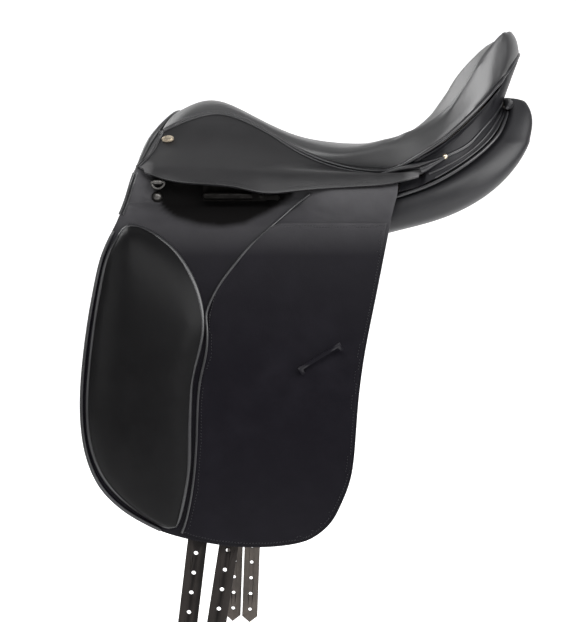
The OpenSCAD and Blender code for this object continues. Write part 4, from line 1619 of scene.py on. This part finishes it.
    def _seams(self, overlay: Object, flap: Object, body: str) -> None:
        """Bead along the overlay's front edge, and stitches round it.

        Args:
            overlay: finished overlay.
            flap: finished flap.
            body: the flap's body.
        """
        word = self.side.word
        sides = node_sides(f"flap_overlay_{word}", self.side.outward)
        front = min(sides, key=lambda line: mean(line).x)
        seam = self._overlay_seam(front, flap)
        self._trim_overlay(overlay)
        lift = self.side.outward * self.bead_lift * MM
        cord = bead(f"overlay_bead_{word}", [p + lift for p in seam], self.bead_radius * MM)
        settle(cord, "piping_leather", None, [])
        self._bend(cord)
        sewn = [p for p in seam if p.z < self.seam_bend * MM]
        if front[-1].z <= front[0].z:
            sewn.reverse()
        for line in [sewn] + [line for line in sides if line is not front]:
            row = StitchRow().sew(f"overlay_stitches_{word}_{len(line)}_{line[0].x:.3f}", overlay, line)
            settle(row, "flap_leather", body, [])

    def _overlay_seam(self, front: Sequence[Vector], flap: Object) -> list[Vector]:
        """Overlay's front edge, carried up aslant over the flap's bend.

        Args:
            front: the edge of the CAD overlay.
            flap: finished flap.

        Returns:
            Points on the leather, from below upwards.
        """
        start = (self.seam[0][1] - self.seam_gap) * MM
        seam = sorted((p.copy() for p in front if p.z < start), key=lambda p: p.z)
        for x, z in self.seam:
            hit, at, _, _ = flap.ray_cast(self.side.place(x, self.clear_of_flap, z), -self.side.outward)
            lift = self.overlay_lift if z < self.seam_bend else self.top_lift
            if hit:
                seam.append(at + self.side.outward * lift * MM)
        return seam

    def _trim_overlay(self, overlay: Object) -> None:
        """Draw the overlay's upper front corner back to the slanting seam.

        Args:
            overlay: finished overlay.
        """
        co = points_of(overlay.data)
        seam = np.array(self.seam) * MM
        limit = np.interp(co[:, 2], seam[:, 1], seam[:, 0])
        above = co[:, 2] > seam[0, 1]
        co[above, 0] = np.maximum(co[above, 0], limit[above])
        move_points(overlay.data, co)

    def _bend(self, obj: Object) -> None:
        """Bake the piece's placement into its mesh.

        Args:
            obj: the piece.
        """
        start, end = (self.side.place(*spot) for spot in self.flap_line)
        middle = (start + end) / 2
        reach = Vector((0, 0, -self.flap_reach)) * MM
        middle - reach
        middle + reach
        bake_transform(obj)

    def _pad_roll(self, body: str) -> None:
        """Roll round the knee pad.

        Args:
            body: the flap's body.
        """
        word = self.side.word
        inset, lift, radius = (v * MM for v in self.pad_roll)
        ring = node_rim(f"knee_pad_{word}", self.side.outward)
        inner = mean(ring)
        roll = [p + (inner - p).normalized() * inset + self.side.outward * lift for p in ring]
        settle(bead(f"pad_roll_{word}", roll, radius, closed=True), "piping_leather", body, [])

    def _round_bulb(self, panel: Object) -> None:
        """Draw the panel's rear end up a little and round it off.

        Args:
            panel: finished panel.
        """
        co = points_of(panel.data)
        for axis, low, high, most in self.bulb:
            co[:, axis] += most * MM * soft(ramp(co[:, axis] / MM, low, high))
        low, high, most = self.lean
        co[:, 0] -= most * MM * ramp(co[:, 2] / MM, low, high) ** 2
        move_points(panel.data, co)
        rear = np.flatnonzero((co[:, 2] > self.rounded_above * MM) & (co[:, 0] > 0))
        relax(panel, rear, self.rounding)


@dataclass
class Straps:
    """The billets, with dyed grain outside and bare flesh side inside."""

    edge_round: float = 0.6
    # How squarely a face looks inwards to count as flesh side
    flesh_facing: float = 0.6

    def build(self) -> None:
        """Make the four straps."""
        for side, end in product(Side, ("front", "rear")):
            node = f"billet_{side.word}_{end}"
            obj = copy_node(node, node + "_strap")
            round_edges(obj, self.edge_round)
            smooth(obj, 35)
            obj.data.materials.append(material_of(FINISHES["billet_leather"]))
            obj.data.materials.append(material_of(FLESH))
            for face in obj.data.polygons:
                face.material_index = int(face.normal.dot(-side.outward) > self.flesh_facing)
            settle(obj, "billet_leather", node, [node])


@dataclass
class Fittings:
    """Studs, dees, bars and the hidden tree, which keep their CAD meshes or get rounded edges."""

    # Studs and the width of their rounded edges
    studs: tuple[tuple[str, float], ...] = (("pommel_studs", 0.5), ("rear_studs", 0.2))
    # Nodes whose steel is painted near-black as the pocket's shade
    forged_nodes: tuple[str, ...] = ("stirrup_bar", "thumb_lever", "lever_pins")

    def build(self) -> None:
        """Dress every node that no piece replaces."""
        for node, width in self.studs:
            obj = copy_node(node, node + "_rounded")
            round_edges(obj, width, segments=3, angle=40)
            smooth(obj, 50)
            settle(obj, "stud_metal", ROOT, [node])
        slots = {s["node"]: s["material_slot"] for s in frame["record"]["subparts"]}
        for node, obj in frame["nodes"].items():
            in_painted_shade = node.startswith(self.forged_nodes)
            obj.data.materials.clear()
            obj.data.materials.append(material_of(BAR_STEEL_IN_SHADE if in_painted_shade else FINISHES[slots[node]]))


@dataclass(frozen=True)
class Lamp:
    """A soft light that faces the saddle: place, width and height in metres, and power."""

    name: str
    at: Spot
    size: tuple[float, float]
    power: float

    def build(self, aim: Vector) -> None:
        """Hang the light.

        Args:
            aim: point that it faces.
        """
        data = bpy.data.lights.new(self.name, "AREA")
        data.shape = "RECTANGLE"
        data.size, data.size_y = self.size
        data.energy = self.power
        lamp = add_object(self.name, data)
        lamp.location = self.at
        lamp.rotation_euler = (aim - Vector(self.at)).to_track_quat("-Z", "Y").to_euler()


@dataclass
class Studio:
    """Pale floor and backdrop, soft lights, and the camera at the photograph's angle."""

    # Camera: what it looks at, how far away, how high in degrees, scale there, and its sensor
    aim: Spot = (-0.015, 0.0, -0.096)
    distance: float = 1.6
    elevation: float = 5.0
    mm_per_px: float = 1.26
    sensor_mm: float = 36.0
    lamps: tuple[Lamp, ...] = (
        Lamp("overhead", (0.0, 0.2, 2.4), (2.0, 2.0), 10),
        Lamp("key", (-0.1, -2.1, 1.55), (2.4, 0.7), 42),
        Lamp("window", (1.75, -1.2, 1.0), (2.3, 1.4), 72),
        Lamp("side", (-2.2, -1.2, 0.7), (1.4, 1.4), 14),
        Lamp("back", (-1.8, 0.9, 1.7), (1.2, 1.2), 40),
    )
    world_strength: float = 0.09
    # Floor: height, width, height of the backdrop, radius of the bend between them, colour and glow
    floor_z: float = -0.62
    floor_size: float = 12
    backdrop_height: float = 8
    bend_radius: float = 2.5
    pale: Colour = (0.86, 0.86, 0.86)
    glow: float = 0.75

    def build(self) -> None:
        """Set the stage."""
        self._camera()
        self._backdrop()
        for lamp in self.lamps:
            lamp.build(Vector(self.aim))
        bpy.context.scene.view_settings.view_transform = "Standard"
        world = bpy.data.worlds.new("studio")
        world.use_nodes = True
        sky = world.node_tree.nodes["Background"]
        sky.inputs["Color"].default_value = (1, 1, 1, 1)
        sky.inputs["Strength"].default_value = self.world_strength
        bpy.context.scene.world = world

    def _camera(self) -> None:
        """Camera that looks along +Y, tipped down."""
        data = bpy.data.cameras.new("photo_camera")
        data.sensor_width = self.sensor_mm
        data.lens = self.distance / (self.mm_per_px * MM) * self.sensor_mm / PHOTO_HEIGHT_PX
        camera = add_object("photo_camera", data)
        tip = math.radians(self.elevation)
        camera.location = Vector(self.aim) + Vector((0, -math.cos(tip), math.sin(tip))) * self.distance
        camera.rotation_euler = (math.pi / 2 - tip, 0, 0)
        bpy.context.scene.camera = camera

    def _backdrop(self) -> None:
        """Floor that curves up behind the saddle."""
        bpy.ops.object.select_all(action="DESELECT")
        bpy.ops.mesh.primitive_plane_add(size=self.floor_size, location=(0, 0, self.floor_z))
        floor = bpy.context.object
        floor.name = "floor"
        spots = floor.data.vertices
        rear = [e.index for e in floor.data.edges if all(spots[i].co.y > 0 for i in e.vertices)]
        with editing(floor, Element.EDGE, rear):
            bpy.ops.mesh.extrude_region_move(TRANSFORM_OT_translate={"value": (0, 0, self.backdrop_height)})
        finish_with(floor, "BEVEL", width=self.bend_radius, segments=16, limit_method="ANGLE",
                    angle_limit=math.radians(40))
        smooth(floor, 60)
        paint = Graph("pale_floor").dress(Base_Color=self.pale, Roughness=0.9, Emission_Color=(1.0, 1.0, 1.0),
                                          Emission_Strength=self.glow)
        floor.data.materials.append(paint)


def main() -> None:
    """Build the studio and the saddle's pieces in order."""
    logging.basicConfig(level=logging.INFO, format="%(message)s")
    Studio().build()
    Seat().build()
    for side in Side:
        FlapSide(side).build()
    Straps().build()
    Fittings().build()


if __name__ == "__main__":
    main()
